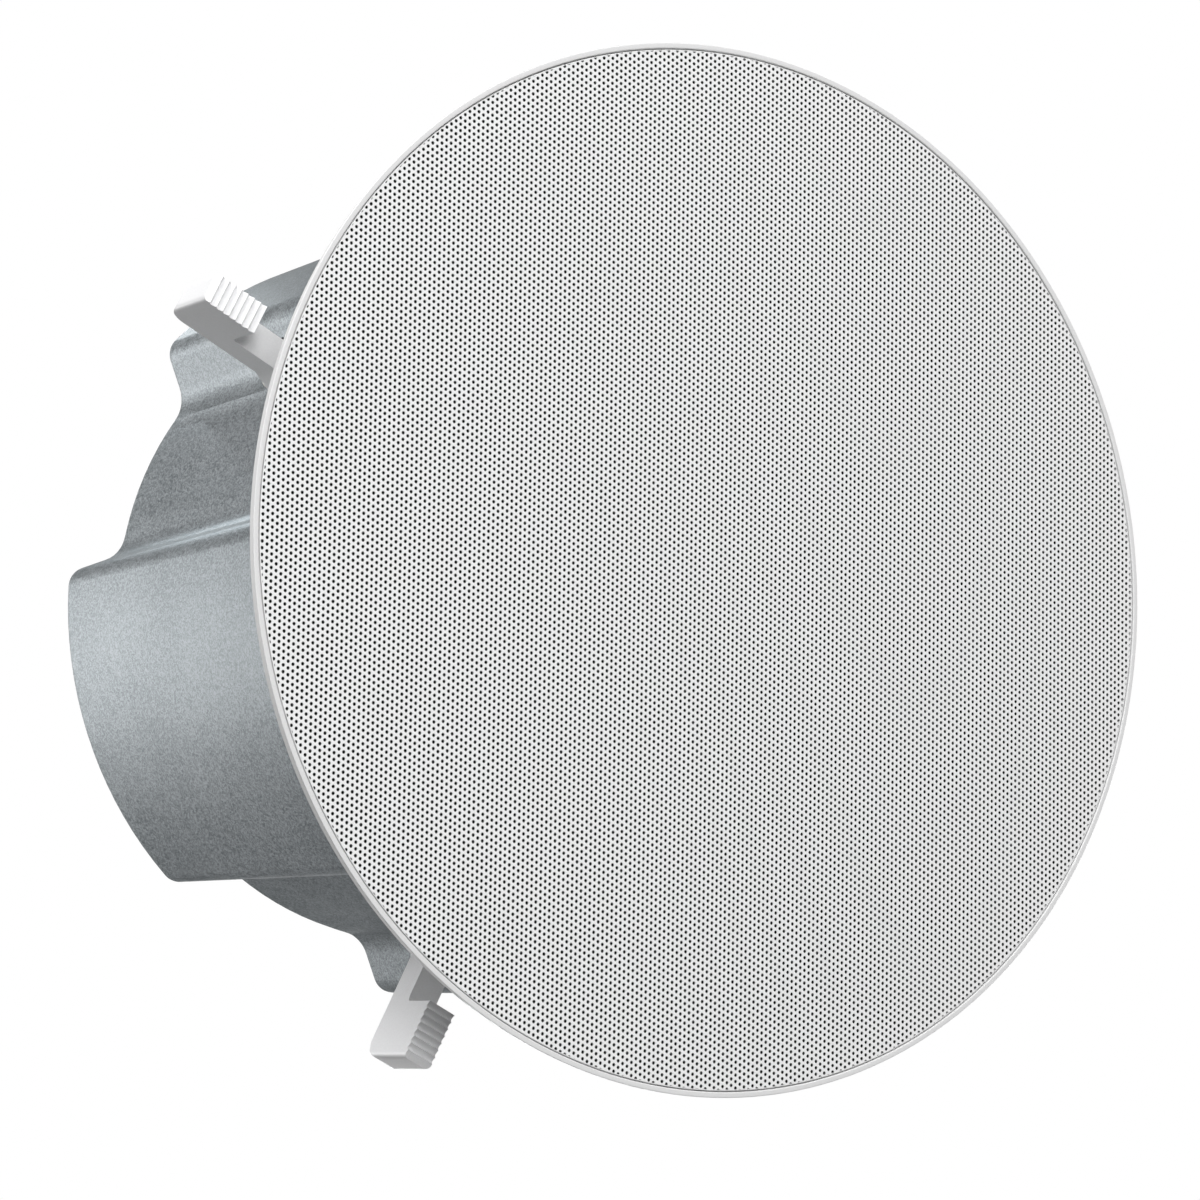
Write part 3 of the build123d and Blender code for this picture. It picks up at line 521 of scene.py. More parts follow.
@dataclass
class Grille:
    """The perforated sheet, made of staggered rows of holes, its turned edge and the cloth behind it.

    Attributes:
        pitch_mm: spacing of the holes in a row, and of the rows.
        hole_mm: diameter of a hole.
        wall_mm: depth of a hole's wall that shows.
        edge_mm: rounding of the turned edge.
        skirt_mm: thickness of the turned edge.
        cloth_gap_mm: room between the cloth and the turned edge.
        bands: pieces that the sheet is laid out in, to keep each one light.
        steps: facets round the edge.
        bend_points: points across the rounding.
    """

    pitch_mm: float = 1.505
    hole_mm: float = 1.02
    wall_mm: float = 0.28
    edge_mm: float = 0.2
    skirt_mm: float = 0.3
    cloth_gap_mm: float = 0.1
    bands: int = 6
    steps: int = 256
    bend_points: int = 5

    def __post_init__(self) -> None:
        """Take the sheet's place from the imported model."""
        low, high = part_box("grille")
        self.front = low.z
        self.back = high.z
        self.radius = high.x
        self.sheet_radius = self.radius - self.edge_mm * MM
        self.pitch = self.pitch_mm * MM
        self.reach = math.ceil(self.sheet_radius / self.pitch) + 1

    def build(self) -> None:
        """Build and dress every band of the sheet, then the edge."""
        rows = list(range(-self.reach, self.reach + 1))
        share = math.ceil(len(rows) / self.bands)
        for band in range(self.bands):
            sheet = self._band(f"grille_sheet_{band + 1}", rows[band * share:(band + 1) * share])
            hand_over(sheet, GRILLE_COAT, HOUSING, ["grille"])
        hand_over(self._edge(), GRILLE_COAT, HOUSING, ["grille"])
        hand_over(self._cloth(), ACOUSTIC_CLOTH, HOUSING, ["grille_cloth"])

    def _cloth(self) -> bpy.types.Object:
        """Copy the cloth and draw it out to the turned edge, so that it stands behind every hole."""
        cloth = copy_of_node("grille_cloth", "cloth_disc")
        points = read_points(cloth)
        reach = self.radius - (self.skirt_mm + self.cloth_gap_mm) * MM
        points[:, :2] *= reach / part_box("grille_cloth")[1].x
        place_points(cloth, points)
        return cloth

    def _cell(self, name: str) -> bpy.types.Object:
        """Model one hole: a six-sided wall and the sheet between it and its neighbours.

        Args:
            name: the piece's name.

        Returns:
            The hole, at the origin.
        """
        half = self.pitch / 2
        corners = [(half, half), (0, half), (-half, half), (-half, -half), (0, -half), (half, -half)]
        sides = len(corners)
        turn = 360 / sides
        first = turn / 2
        angles = [math.radians(first + turn * corner) for corner in range(sides)]
        radius = self.hole_mm * MM / 2
        cell = closed_line(name, [(radius * math.cos(t), radius * math.sin(t), self.front) for t in angles])
        edit_all(cell)
        bpy.ops.mesh.extrude_edges_move(TRANSFORM_OT_translate={"value": (0, 0, self.wall_mm * MM)})
        bpy.ops.mesh.select_all(action="DESELECT")
        bpy.ops.object.mode_set(mode="OBJECT")
        for vertex in cell.data.vertices[:sides]:
            vertex.select = True
        for edge in cell.data.edges:
            edge.select = max(edge.vertices) < sides
        bpy.ops.object.mode_set(mode="EDIT")
        bpy.ops.mesh.extrude_edges_move()
        bpy.ops.object.mode_set(mode="OBJECT")
        points = read_points(cell)
        for number in range(2 * sides, len(points)):
            angle = math.degrees(math.atan2(points[number, 1], points[number, 0]))
            points[number, :2] = corners[round((angle - first) / turn) % sides]
        place_points(cell, points)
        edit_all(cell)
        bpy.ops.mesh.normals_make_consistent(inside=False)
        bpy.ops.object.mode_set(mode="OBJECT")
        if any(face.normal.z > FLAT for face in cell.data.polygons):
            edit_all(cell)
            bpy.ops.mesh.flip_normals()
            bpy.ops.object.mode_set(mode="OBJECT")
        return cell

    def _band(self, name: str, rows: Sequence[int]) -> bpy.types.Object:
        """Repeat the hole over some rows, each half a pitch along from the last, and trim them.

        Args:
            name: the band's name.
            rows: the numbers of the rows, counted from the middle.

        Returns:
            The band of sheet.
        """
        sheet = self._cell(name)
        lead = math.ceil(len(rows) / 2)
        repeat = {
            "use_relative_offset": False,
            "use_constant_offset": True,
            "use_merge_vertices": True,
            "merge_threshold": MERGE,
        }
        columns = 2 * self.reach + lead + 1
        apply_modifier(sheet, "ARRAY", count=columns, constant_offset_displace=(self.pitch, 0, 0), **repeat)
        step = (self.pitch / 2, self.pitch, 0)
        apply_modifier(sheet, "ARRAY", count=len(rows), constant_offset_displace=step, **repeat)
        start = (rows[0] % 2 / 2 - self.reach - lead, rows[0], 0)
        place_points(sheet, read_points(sheet) + np.array(start) * self.pitch)
        self._trim(sheet)
        return sheet

    def _trim(self, sheet: bpy.types.Object) -> None:
        """Drop the faces past the round edge and pull the corners past it back onto it.

        Args:
            sheet: the band of sheet, of four-cornered faces.
        """
        points = read_points(sheet)
        past = np.hypot(points[:, 0], points[:, 1]) > self.sheet_radius
        corners = np.zeros(len(sheet.data.loops), np.int32)
        sheet.data.loops.foreach_get("vertex_index", corners)
        sheet.data.polygons.foreach_set("select", past[corners.reshape(-1, 4)].all(axis=1))
        only(sheet)
        bpy.context.tool_settings.mesh_select_mode = (False, False, True)
        bpy.ops.object.mode_set(mode="EDIT")
        bpy.ops.mesh.delete(type="FACE")
        bpy.ops.object.mode_set(mode="OBJECT")
        bpy.context.tool_settings.mesh_select_mode = (True, False, False)
        points = read_points(sheet)
        reach = np.hypot(points[:, 0], points[:, 1])
        points[:, :2] *= np.minimum(1, self.sheet_radius / np.maximum(reach, MERGE))[:, None]
        place_points(sheet, points)

    def _edge(self) -> bpy.types.Object:
        """Turn the sheet's rounded edge and the skirt behind it."""
        corner = self.edge_mm * MM
        bend = np.linspace(0, math.pi / 2, self.bend_points)
        outer = [
            (self.sheet_radius + corner * math.sin(t), self.front + corner * (1 - math.cos(t))) for t in bend
        ]
        thick = self.skirt_mm * MM
        inner = self.radius - thick
        skirt = [(self.radius, self.back), (inner, self.back), (inner, self.front + thick)]
        edge = turned_piece("grille_edge", outer + skirt, Vector(), self.steps)
        smooth(edge)
        return edge


@dataclass
class TrimRing:
    """The white moulding: lip, flange, collar, baffle plate and a boss for each clamp screw.

    Attributes:
        lip_mm: width of the lip around the grille.
        collar_mm: wall of the collar.
        plate_mm: thickness of the baffle plate.
        hole_mm: radius of the woofer's hole.
        boss_mm: radius of a boss.
        root_mm: depth of a boss in the plate.
        bore_mm: radius of its hole.
        round_mm: rounding of the edges.
        draft_mm: how much smaller the ring is at its back, where it meets the ceiling.
        steps: facets round the axis.
        boss_steps: facets round a boss.
        round_steps: facets across a rounding.
    """

    lip_mm: float = 1.6
    collar_mm: float = 2.5
    plate_mm: float = 3.0
    hole_mm: float = 73.0
    boss_mm: float = 6.0
    root_mm: float = 1.0
    bore_mm: float = 2.7
    round_mm: float = 0.35
    draft_mm: float = 1.0
    steps: int = 256
    boss_steps: int = 48
    round_steps: int = 3

    def build(self) -> None:
        """Build and dress the moulding."""
        low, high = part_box("baffle")
        flange_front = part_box("grille")[1].z
        plate_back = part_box("can_gasket")[0].z
        plate_front = plate_back - self.plate_mm * MM
        ring = high.x
        lip = ring - self.lip_mm * MM
        collar = mount_radius("ceiling_cutout")
        inside = collar - self.collar_mm * MM
        section = [
            (self.hole_mm * MM, plate_front),
            (inside, plate_front),
            (inside, flange_front),
            (lip, flange_front),
            (lip, low.z),
            (ring, low.z),
            (ring - self.draft_mm * MM, 0.0),
            (collar, 0.0),
            (collar, plate_back),
            (self.hole_mm * MM, plate_back),
        ]
        moulding = turned_piece("trim_ring", section, Vector(), self.steps)
        bosses = [self._boss(clamp, plate_back - self.root_mm * MM, high.z) for clamp in CLAMPS]
        only(moulding)
        for boss in bosses:
            boss.select_set(True)
        bpy.ops.object.join()
        round_edges(moulding, self.round_mm, self.round_steps)
        smooth(moulding)
        hand_over(moulding, TRIM_ABS, HOUSING, ["baffle"])

    def _boss(self, clamp: int, low: float, high: float) -> bpy.types.Object:
        """Turn the boss around one clamp screw.

        Args:
            clamp: the clamp's number.
            low: level of its foot, in metres.
            high: level of its top, in metres.

        Returns:
            The boss.
        """
        radius = self.boss_mm * MM
        bore = self.bore_mm * MM
        section = [(bore, low), (radius, low), (radius, high), (bore, high)]
        return turned_piece(f"boss_{clamp}", section, joint_place(f"clamp_swing_{clamp}"), self.boss_steps)


@dataclass
class BackCan:
    """The lobed sheet-metal can, with hollow corners along the sides of its four bays, and its foam gasket.

    Attributes:
        bay_half_deg: half the angle of a bay.
        bay_turn_deg: middle of a bay from the clamp's axis.
        floor_mm: radius of a bay's floor.
        step_back_mm: height of a bay's side at the can's back.
        step_front_mm: height of a bay's side at the can's front.
        broad_mm: width of the hollow corner on a bay's first side.
        narrow_mm: width of the hollow corner on its other side.
        hollow: how fast a hollow corner falls from its upper edge, where one is a straight slope.
        round_mm: rounding of the can's back edge.
        steps: facets across a hollow corner.
    """

    bay_half_deg: float = 11.8
    bay_turn_deg: float = -3.81
    floor_mm: float = 94.7
    step_back_mm: float = 0.35
    step_front_mm: float = 2.73
    broad_mm: float = 14.0
    narrow_mm: float = 4.2
    hollow: float = 1.6
    round_mm: float = 3.0
    steps: int = 7

    def build(self) -> None:
        """Build and dress the can and its gasket."""
        can = copy_of_node("back_can", "can_shell")
        corners = [self._hollow_corner(clamp, side) for clamp in CLAMPS for side in (-1, 1)]
        only(can)
        for corner in corners:
            corner.select_set(True)
        bpy.ops.object.join()
        smooth(can)
        hand_over(can, CAN_COAT, HOUSING, ["back_can"])
        gasket = copy_of_node("can_gasket", "gasket_ring")
        smooth(gasket)
        hand_over(gasket, FOAM, HOUSING, ["can_gasket"])

    def _hollow_corner(self, clamp: int, side: int) -> bpy.types.Object:
        """Fill the corner between a bay's floor and one of its sides, deeper towards the front.

        Args:
            clamp: the number of the clamp that stands in the bay.
            side: which side of the bay, as the sign of its angle.

        Returns:
            The filling, which reaches a little into the wall behind it.
        """
        low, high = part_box("back_can")
        front = self._corner_line(clamp, side, self.step_front_mm, low.z)
        back = self._corner_line(clamp, side, self.step_back_mm, high.z - self.round_mm * MM)
        filling = prism(f"corner_{clamp}_{side}", front, Vector((0, 0, 1)))
        place_points(filling, np.array(front + back))
        edit_all(filling)
        bpy.ops.mesh.normals_make_consistent(inside=False)
        bpy.ops.object.mode_set(mode="OBJECT")
        return filling

    def _corner_line(
        self, clamp: int, side: int, step_mm: float, level: float
    ) -> list[tuple[float, float, float]]:
        """Lay out a hollow corner at one level.

        Args:
            clamp: the number of the clamp that stands in the bay.
            side: which side of the bay, as the sign of its angle.
            step_mm: height of the bay's side there.
            level: the level, in metres.

        Returns:
            The corner's outline, in metres.
        """
        width = self.narrow_mm if side > 0 else self.broad_mm
        shares = [step / self.steps for step in range(self.steps + 1)]
        if side > 0:
            rise = [step_mm * (1 - share) ** self.hollow for share in shares]
        else:
            rise = [step_mm * (1 + math.cos(math.pi * share)) / 2 for share in shares]
        run = [width * share for share in shares]
        rise += [-self.step_back_mm, -self.step_back_mm]
        run += [width, -self.step_back_mm]
        place = joint_place(f"clamp_swing_{clamp}")
        middle = math.atan2(place.y, place.x) + math.radians(self.bay_turn_deg)
        turns = [middle + side * (math.radians(self.bay_half_deg) - along / self.floor_mm) for along in run]
        reach = [(self.floor_mm + height) * MM for height in rise]
        return [(r * math.cos(t), r * math.sin(t), level) for r, t in zip(reach, turns)]


@dataclass
class ClampSet:
    """The clamps: a threaded screw and the toothed dog on it, modelled once and set round the axis.

    Attributes:
        width_mm: width of arm and foot.
        flare_mm: screw's axis to the end of the hub's flare.
        arm_mm: height of the arm.
        end_mm: rounding of the outer back corner.
        corner_mm: rounding of the outer end's two upright corners.
        heel_mm: hollow corner between arm and foot.
        edge_mm: rounding of the long edges.
        teeth: number of teeth.
        tooth_mm: spacing of the teeth.
        tooth_deep_mm: depth of the teeth.
        scoop: how much steeper a tooth's short face is than its long one.
        scoop_steps: facets across the hollow between two teeth.
        toe_mm: last tooth to the outer end.
        shank_mm: radius over the thread.
        thread_mm: pitch of the thread.
        thread_deep_mm: depth of the thread.
        head_mm: height of the screw's head.
        head_radius_mm: radius of the screw's head.
        head_bevel: bevel of the head, as a share of its radius.
        ridge: half the width of the thread's ridge, as a share of the pitch.
        overhang: how far the cutting tools stand out to each side, in radii of the hub.
        hub_points: points round the hub.
        corner_points: points across an upright corner.
        bend_points: points across the heel and the outer back corner.
        round_steps: facets across the long edges' rounding.
        screw_steps: facets round the screw.
        thread_steps: facets in a turn of the thread.
    """

    width_mm: float = 8.25
    flare_mm: float = 8.25
    arm_mm: float = 9.55
    end_mm: float = 5.5
    corner_mm: float = 1.5
    heel_mm: float = 1.5
    edge_mm: float = 0.9
    teeth: int = 7
    tooth_mm: float = 2.06
    tooth_deep_mm: float = 0.75
    scoop: float = 3.0
    scoop_steps: int = 8
    toe_mm: float = 2.0
    shank_mm: float = 2.5
    thread_mm: float = 1.6
    thread_deep_mm: float = 0.45
    head_mm: float = 3.0
    head_radius_mm: float = 4.5
    head_bevel: float = 0.2
    ridge: float = 0.42
    overhang: float = 1.5
    hub_points: int = 33
    corner_points: int = 7
    bend_points: int = 9
    round_steps: int = 4
    screw_steps: int = 32
    thread_steps: int = 18

    def __post_init__(self) -> None:
        """Take the first clamp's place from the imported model."""
        low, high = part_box("clamp_dog_1")
        self.pivot = joint_place("clamp_swing_1")
        self.hub = self.pivot.x - low.x
        self.end = high.x
        self.teeth_level = low.z
        self.arm_back = high.z
        self.arm_front = high.z - self.arm_mm * MM
        self.foot = self.end - (self.teeth * self.tooth_mm + self.toe_mm) * MM
        self.blank = self.teeth_level - 2 * self.edge_mm * MM
        self.side = -self.overhang * self.hub
        self.across = Vector((0, -2 * self.side, 0))

    def build(self) -> None:
        """Build one clamp and set a copy of it on each axis."""
        dog = self._dog()
        screw = self._screw()
        for number in CLAMPS:
            place = joint_place(f"clamp_swing_{number}")
            turn = Matrix.Rotation(math.atan2(place.y, place.x), 4, "Z")
            arm = turned_copy(dog, f"dog_{number}", turn)
            hand_over(arm, DOG_ABS, f"clamp_arm_{number}", [f"clamp_dog_{number}"])
            post = turned_copy(screw, f"screw_{number}", turn)
            hand_over(post, ZINC_STEEL, f"clamp_post_{number}", [f"clamp_screw_{number}"])
        bpy.data.objects.remove(dog)
        bpy.data.objects.remove(screw)

    def _dog(self) -> bpy.types.Object:
        """Model the dog: plan and profile meet, the edges are rounded, then the teeth are cut."""
        dog = prism("dog", self._plan(), Vector((0, 0, self.arm_back - self.blank)))
        cut(dog, prism("profile", self._profile(), self.across), "INTERSECT")
        round_edges(dog, self.edge_mm, self.round_steps)
        cut(dog, prism("teeth", self._teeth(), self.across), "DIFFERENCE")
        return dog

    def _plan(self) -> list[tuple[float, float, float]]:
        """Return the dog's outline seen along the screw: round hub, flare and straight arm."""
        half = self.width_mm * MM / 2
        flare = self.flare_mm * MM
        first = math.atan2(half, flare) + math.acos(self.hub / math.hypot(half, flare))
        arc = np.linspace(first, math.tau - first, self.hub_points)
        points = [(self.pivot.x + self.hub * math.cos(t), self.hub * math.sin(t)) for t in arc]
        bend = self.corner_mm * MM
        quarter = np.linspace(0, math.pi / 2, self.corner_points)
        side = [(self.end - bend + bend * math.cos(t), half - bend + bend * math.sin(t)) for t in quarter]
        points.append((self.pivot.x + flare, -half))
        points += [(x, -y) for x, y in reversed(side)] + side
        points.append((self.pivot.x + flare, half))
        return [(x, y, self.blank) for x, y in points]

    def _profile(self) -> list[tuple[float, float, float]]:
        """Return the dog's outline seen from the side, with a hollow heel and a round end."""
        heel = self.heel_mm * MM
        bend = self.end_mm * MM
        hub_end = self.pivot.x - 2 * self.hub
        quarter = np.linspace(0, math.pi / 2, self.bend_points)
        points = [(hub_end, self.arm_back), (hub_end, self.arm_front)]
        points += [
            (self.foot - heel + heel * math.sin(t), self.arm_front - heel + heel * math.cos(t))
            for t in quarter
        ]
        points += [(self.foot, self.blank), (self.end, self.blank)]
        points += [
            (self.end - bend + bend * math.cos(t), self.arm_back - bend + bend * math.sin(t)) for t in quarter
        ]
        return [(x, self.side, z) for x, z in points]

    def _teeth(self) -> list[tuple[float, float, float]]:
        """Return the outline of the room in front of the teeth."""
        pitch = self.tooth_mm * MM
        root = self.teeth_level + self.tooth_deep_mm * MM
        past = self.end + pitch
        ahead = self.foot - pitch
        below = self.teeth_level - pitch
        points = [(past, below), (ahead, below), (ahead, self.teeth_level)]
        # Between two tips the hollow falls as share * (1 - share**scoop), scaled to the teeth's depth
        deepest = (1 / (self.scoop + 1)) ** (1 / self.scoop)
        shares = [step / self.scoop_steps for step in range(self.scoop_steps)]
        fall = [share * (1 - share**self.scoop) for share in shares]
        depth = (root - self.teeth_level) / (deepest * (1 - deepest**self.scoop))
        for tooth in range(self.teeth):
            tip = self.foot + tooth * pitch
            points += [
                (tip + share * pitch, self.teeth_level + depth * drop) for share, drop in zip(shares, fall)
            ]
        points += [(self.end - self.toe_mm * MM, self.teeth_level), (self.end, root), (past, root)]
        return [(x, self.side, z) for x, z in points]

    def _screw(self) -> bpy.types.Object:
        """Turn the screw's head and core and wind a thread on it."""
        low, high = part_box("clamp_screw_1")
        shank = self.shank_mm * MM
        core = shank - self.thread_deep_mm * MM
        head = self.head_radius_mm * MM
        bevel = head * self.head_bevel
        seat = low.z + self.head_mm * MM
        tip = core / 2
        boss_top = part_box("baffle")[1].z
        section = [
            (0.0, low.z),
            (head - bevel, low.z),
            (head, low.z + bevel),
            (head, seat),
            (shank, seat),
            (shank, boss_top),
            (core, boss_top + tip / 2),
            (core, high.z - tip),
            (tip, high.z),
            (0.0, high.z),
        ]
        screw = turned_piece("screw", section, self.pivot, self.screw_steps)
        thread = self._thread(core, shank, boss_top + tip, high.z - core)
        only(screw)
        thread.select_set(True)
        bpy.ops.object.join()
        return screw

    def _thread(self, core: float, shank: float, low: float, high: float) -> bpy.types.Object:
        """Wind a three-cornered ridge about the screw.

        Args:
            core: radius under the thread.
            shank: radius over the thread.
            low: level where the thread starts.
            high: level where it ends.

        Returns:
            The thread.
        """
        pitch = self.thread_mm * MM
        half = pitch * self.ridge
        sunk = core - (shank - core) / 4
        section = [(sunk, 0.0, low), (shank, 0.0, low + half), (sunk, 0.0, low + 2 * half)]
        ridge = closed_line("thread", section)
        apply_modifier(
            ridge,
            "SCREW",
            axis="Z",
            angle=math.tau,
            screw_offset=pitch,
            iterations=int((high - low) / pitch),
            steps=self.thread_steps,
            render_steps=self.thread_steps,
            use_merge_vertices=True,
        )
        edit_all(ridge)
        bpy.ops.mesh.normals_make_consistent(inside=False)
        bpy.ops.object.mode_set(mode="OBJECT")
        place_points(ridge, read_points(ridge) + np.array((self.pivot.x, self.pivot.y, 0.0)))
        return ridge


@dataclass
class RearFittings:
    """Terminal cup, push terminals, safety loop and their fasteners.

    Attributes:
        edge_mm: rounding of the moulded edges.
        sheet_mm: rounding of the metal edges.
        round_steps: facets across a rounding.
    """

    edge_mm: float = 0.35
    sheet_mm: float = 0.2
    round_steps: int = 3

    def build(self) -> None:
        """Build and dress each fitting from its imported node."""
        moulded = self.edge_mm
        metal = self.sheet_mm
        fittings = [
            ("terminal_cup", "cup_moulding", BLACK_ABS, HOUSING, "black_abs", moulded),
            ("terminal_button_red", "button_red", RED_ABS, "red_button", "red_abs", moulded),
            ("terminal_button_black", "button_black", BUTTON_ABS, "black_button", "black_button", moulded),
            ("terminal_screws", "cup_screws", ZINC_STEEL, HOUSING, "zinc_steel", metal),
            ("safety_loop", "loop_bracket", ZINC_STEEL, HOUSING, "zinc_steel", metal),
            ("loop_rivets", "bracket_rivets", ZINC_STEEL, HOUSING, "zinc_steel", metal),
        ]
        for node, name, finish, body, slot, edge in fittings:
            piece = copy_of_node(node, name)
            round_edges(piece, edge, self.round_steps)
            smooth(piece)
            hand_over(piece, finish, body, [node])


@dataclass
class InnerParts:
    """The pieces behind the cloth and inside the can, which keep their packed form."""

    def dress(self) -> None:
        """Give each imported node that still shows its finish."""
        finishes = {
            "grille_magnets": ZINC_STEEL,
            "can_screws": ZINC_STEEL,
            "woofer_basket": BLACK_COAT,
            "woofer_surround": RUBBER,
            "woofer_cone": CONE,
            "woofer_dust_cap": CONE,
            "woofer_spider": SPIDER_CLOTH,
            "voice_coil_former": ALUMINIUM,
            "voice_coil_winding": COPPER,
            "woofer_top_plate": MOTOR_STEEL,
            "woofer_magnet": FERRITE,
            "woofer_yoke": MOTOR_STEEL,
            "woofer_screws": ZINC_STEEL,
            "tweeter_bridge": BLACK_ABS,
            "bridge_screws": ZINC_STEEL,
            "tweeter_faceplate": BLACK_ABS,
            "tweeter_dome": DOME_SILK,
            "tweeter_magnet": FERRITE,
            "crossover_standoffs": BRASS,
            "crossover_board": BOARD,
            "crossover_coils": COPPER,
            "crossover_capacitors": FILM,
            "crossover_resistor": CERAMIC,
            "terminal_spring_red": ZINC_STEEL,
            "terminal_spring_black": ZINC_STEEL,
        }
        for node, finish in finishes.items():
            materials = frame["nodes"][node].data.materials
            materials.clear()
            materials.append(finish.material())
            log.info("%s keeps its form, in %s", node, finish.name)


@dataclass(frozen=True)
class Lamp:
    """A soft square lamp, aimed at the part.

    Attributes:
        name: the lamp's name.
        place: metres to the right of, above and in front of the grille, as the viewer sees it.
        side: length of its side, in metres.
        power: power in watts.
        spread: angle of its beam, in degrees.
        aim: the place that it is turned to, given as its own place is.
    """

    name: str
    place: tuple[float, float, float]
    side: float
    power: float
    spread: float = 180.0
    aim: tuple[float, float, float] = (0.0, 0.0, -0.08)


@dataclass
class Stage:
    """Floor, world, lamps and camera.

    Attributes:
        viewer_right: the viewer's right along the grille, in the part's frame.
        viewer_up: the viewer's up along the grille, in the part's frame.
        camera_mm: the camera's place, in the part's frame.
        camera_right: the picture's right, in the part's frame.
        camera_up: the picture's up, in the part's frame.
        lens: focal length for the sensor.
        sensor: width of the sensor.
        near: nearest distance that the camera sees, in metres.
        ambient: light from all round.
        floor: the floor's colour.
        floor_side: length of the floor's side, in metres.
        floor_gap_mm: room between the floor and the ring.
        lamps: the lamps.
    """

    viewer_right: Vector = field(default_factory=lambda: Vector((-0.85664, 0.51591, 0.0)))
    viewer_up: Vector = field(default_factory=lambda: Vector((0.51591, 0.85664, 0.0)))
    camera_mm: Vector = field(default_factory=lambda: Vector((470.4, -391.8, -898.1)))
    camera_right: Vector = field(default_factory=lambda: Vector((-0.7506, 0.3941, -0.5304)))
    camera_up: Vector = field(default_factory=lambda: Vector((0.5136, 0.8529, -0.0932)))
    lens: float = 122.85
    sensor: float = 36.0
    near: float = 0.01
    ambient: float = 0.08
    floor: str = "#F4F4F4"
    floor_side: float = 8.0
    floor_gap_mm: float = 0.2
    lamps: tuple[Lamp, ...] = (
        Lamp("key", (-0.7, 0.75, 2.3), 1.2, 51.0),
        Lamp("left", (-0.8, 1.6, 0.25), 1.0, 28.0),
        Lamp("fill", (1.3, 0.2, 2.2), 1.4, 6.0),
        Lamp("side", (-0.29, -0.01, -0.47), 0.3, 0.23, 50.0, (-0.039, -0.01, -0.171)),
        Lamp("rim", (0.12, 0.6, -1.12), 0.05, 0.016, 5.0, (-0.094, 0.026, -0.085)),
        Lamp("top", (1.5, -0.6, -1.9), 1.6, 36.0),
    )

    def build(self) -> None:
        """Set the stage."""
        bpy.context.scene.view_settings.view_transform = "Standard"
        self._floor()
        self._world()
        for lamp in self.lamps:
            self._lamp(lamp)
        self._camera()

    @staticmethod
    def _seen(tree: bpy.types.NodeTree) -> bpy.types.NodeSocket:
        """Find the rays that show the background, straight or in gloss or glass.

        Args:
            tree: the node tree to add to.

        Returns:
            A socket that is one for those rays.
        """
        rays = add_node(tree, "ShaderNodeLightPath").outputs
        larger = {"operation": "MAXIMUM"}
        bent = {0: rays["Is Glossy Ray"], 1: rays["Is Transmission Ray"]}
        gloss = add_node(tree, "ShaderNodeMath", larger, bent).outputs[0]
        return add_node(tree, "ShaderNodeMath", larger, {0: rays["Is Camera Ray"], 1: gloss}).outputs[0]

    def _floor(self) -> None:
        """Lay a pale floor under the grille, open to light and sight from below."""
        bpy.ops.object.select_all(action="DESELECT")
        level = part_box("baffle")[0].z - self.floor_gap_mm * MM
        bpy.ops.mesh.primitive_plane_add(size=self.floor_side, location=(0, 0, level))
        floor = bpy.context.object
        floor.name = "floor"
        cover = bpy.data.materials.new("pale_floor")
        cover.use_nodes = True
        tree = cover.node_tree
        tree.nodes.clear()
        back = add_node(tree, "ShaderNodeNewGeometry").outputs["Backfacing"]
        less = {"operation": "SUBTRACT", "use_clamp": True}
        above = add_node(tree, "ShaderNodeMath", less, {0: self._seen(tree), 1: back})
        clear = add_node(tree, "ShaderNodeBsdfTransparent")
        paint = add_node(tree, "ShaderNodeBsdfDiffuse", {"Color": to_linear(self.floor)})
        mixed = add_node(
            tree, "ShaderNodeMixShader", None, {0: above.outputs[0], 1: clear.outputs[0], 2: paint.outputs[0]}
        )
        add_node(tree, "ShaderNodeOutputMaterial", None, {"Surface": mixed.outputs[0]})
        floor.data.materials.append(cover)

    def _world(self) -> None:
        """Make the world white to the eye and dim as a light."""
        world = bpy.data.worlds.new("studio")
        bpy.context.scene.world = world
        world.use_nodes = True
        tree = world.node_tree
        tree.nodes.clear()
        strength = add_node(
            tree, "ShaderNodeMapRange", {"To Min": self.ambient, "To Max": 1.0}, {"Value": self._seen(tree)}
        )
        light = add_node(
            tree, "ShaderNodeBackground", {"Color": (1, 1, 1, 1)}, {"Strength": strength.outputs["Result"]}
        )
        add_node(tree, "ShaderNodeOutputWorld", None, {"Surface": light.outputs[0]})

    def _point(self, place: tuple[float, float, float]) -> Vector:
        """Turn a place as the viewer gives it into the part's frame."""
        right, up, front = place
        return self.viewer_right * right + self.viewer_up * up + Vector((0, 0, -front))

    def _lamp(self, lamp: Lamp) -> None:
        """Hang one lamp and turn it to its aim."""
        light = bpy.data.lights.new(lamp.name, "AREA")
        light.size = lamp.side
        light.energy = lamp.power
        light.spread = math.radians(lamp.spread)
        hung = bpy.data.objects.new(lamp.name, light)
        hung.visible_camera = False
        bpy.context.scene.collection.objects.link(hung)
        hung.location = self._point(lamp.place)
        beam = self._point(lamp.aim) - hung.location
        hung.rotation_euler = beam.to_track_quat("-Z", "Y").to_euler()

    def _camera(self) -> None:
        """Place the camera at the photograph's view."""
        lens = bpy.data.cameras.new("camera")
        lens.lens = self.lens
        lens.sensor_width = self.sensor
        lens.clip_start = self.near
        camera = bpy.data.objects.new("camera", lens)
        bpy.context.scene.collection.objects.link(camera)
        right = self.camera_right.normalized()
        away = right.cross(self.camera_up).normalized()
        turn = Matrix((right, away.cross(right), away)).transposed()
        camera.matrix_world = Matrix.Translation(self.camera_mm * MM) @ turn.to_4x4()
        bpy.context.scene.camera = camera


def main() -> None:
    """Build every sub-assembly, dress what stays and set the stage."""
    logging.basicConfig(level=logging.INFO, format="%(message)s")
    Grille().build()
    TrimRing().build()
    BackCan().build()
    ClampSet().build()
    RearFittings().build()
    InnerParts().dress()
    Stage().build()


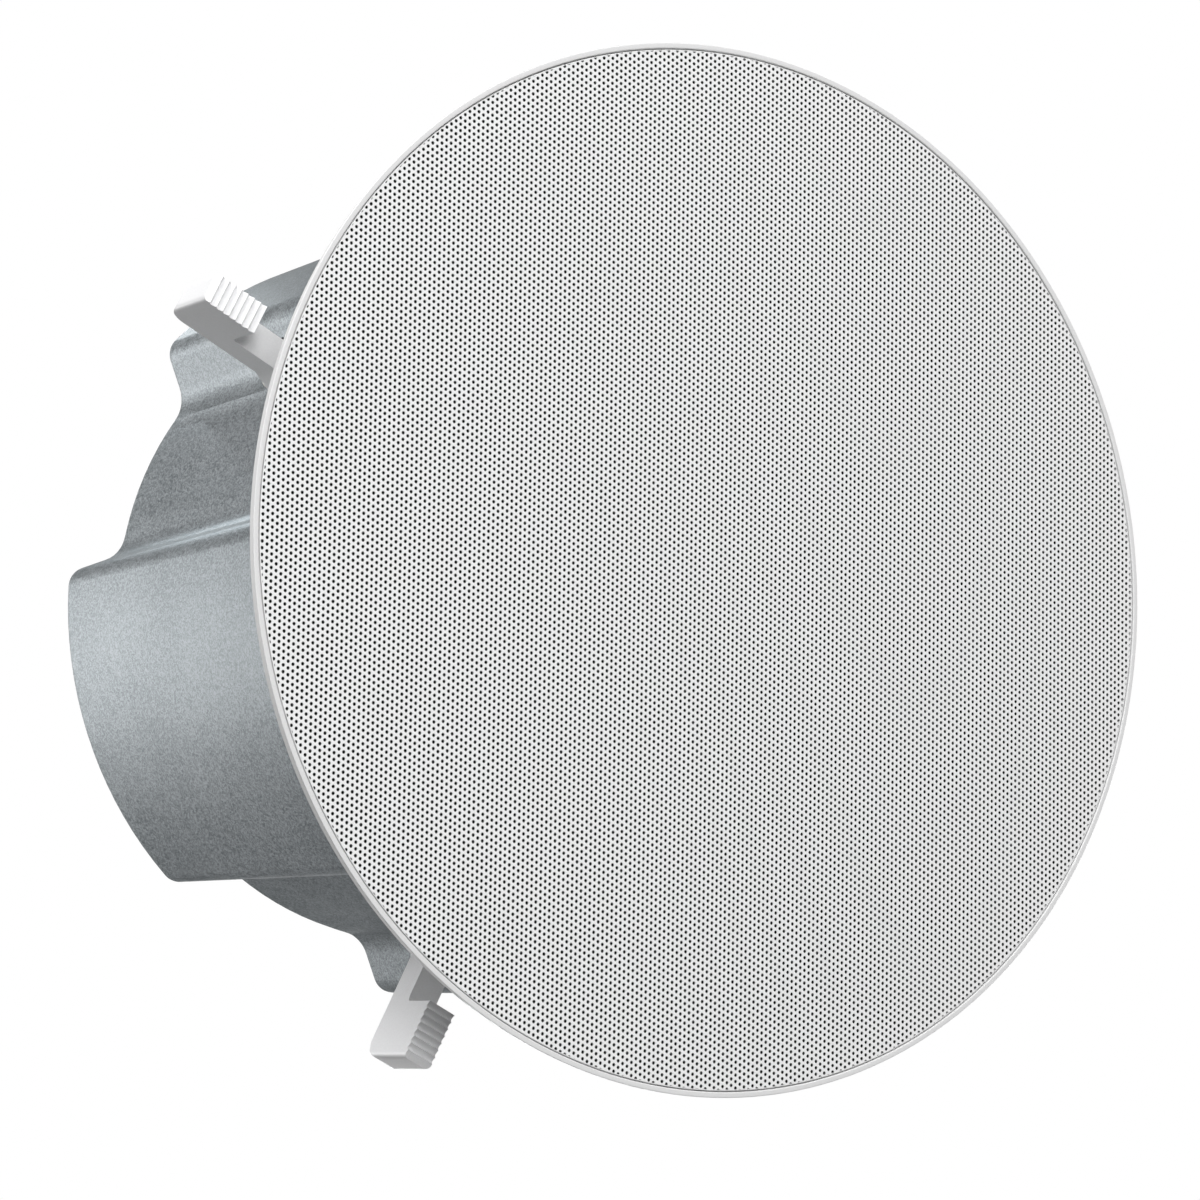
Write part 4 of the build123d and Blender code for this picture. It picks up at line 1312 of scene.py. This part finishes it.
if __name__ == "__main__":
    main()
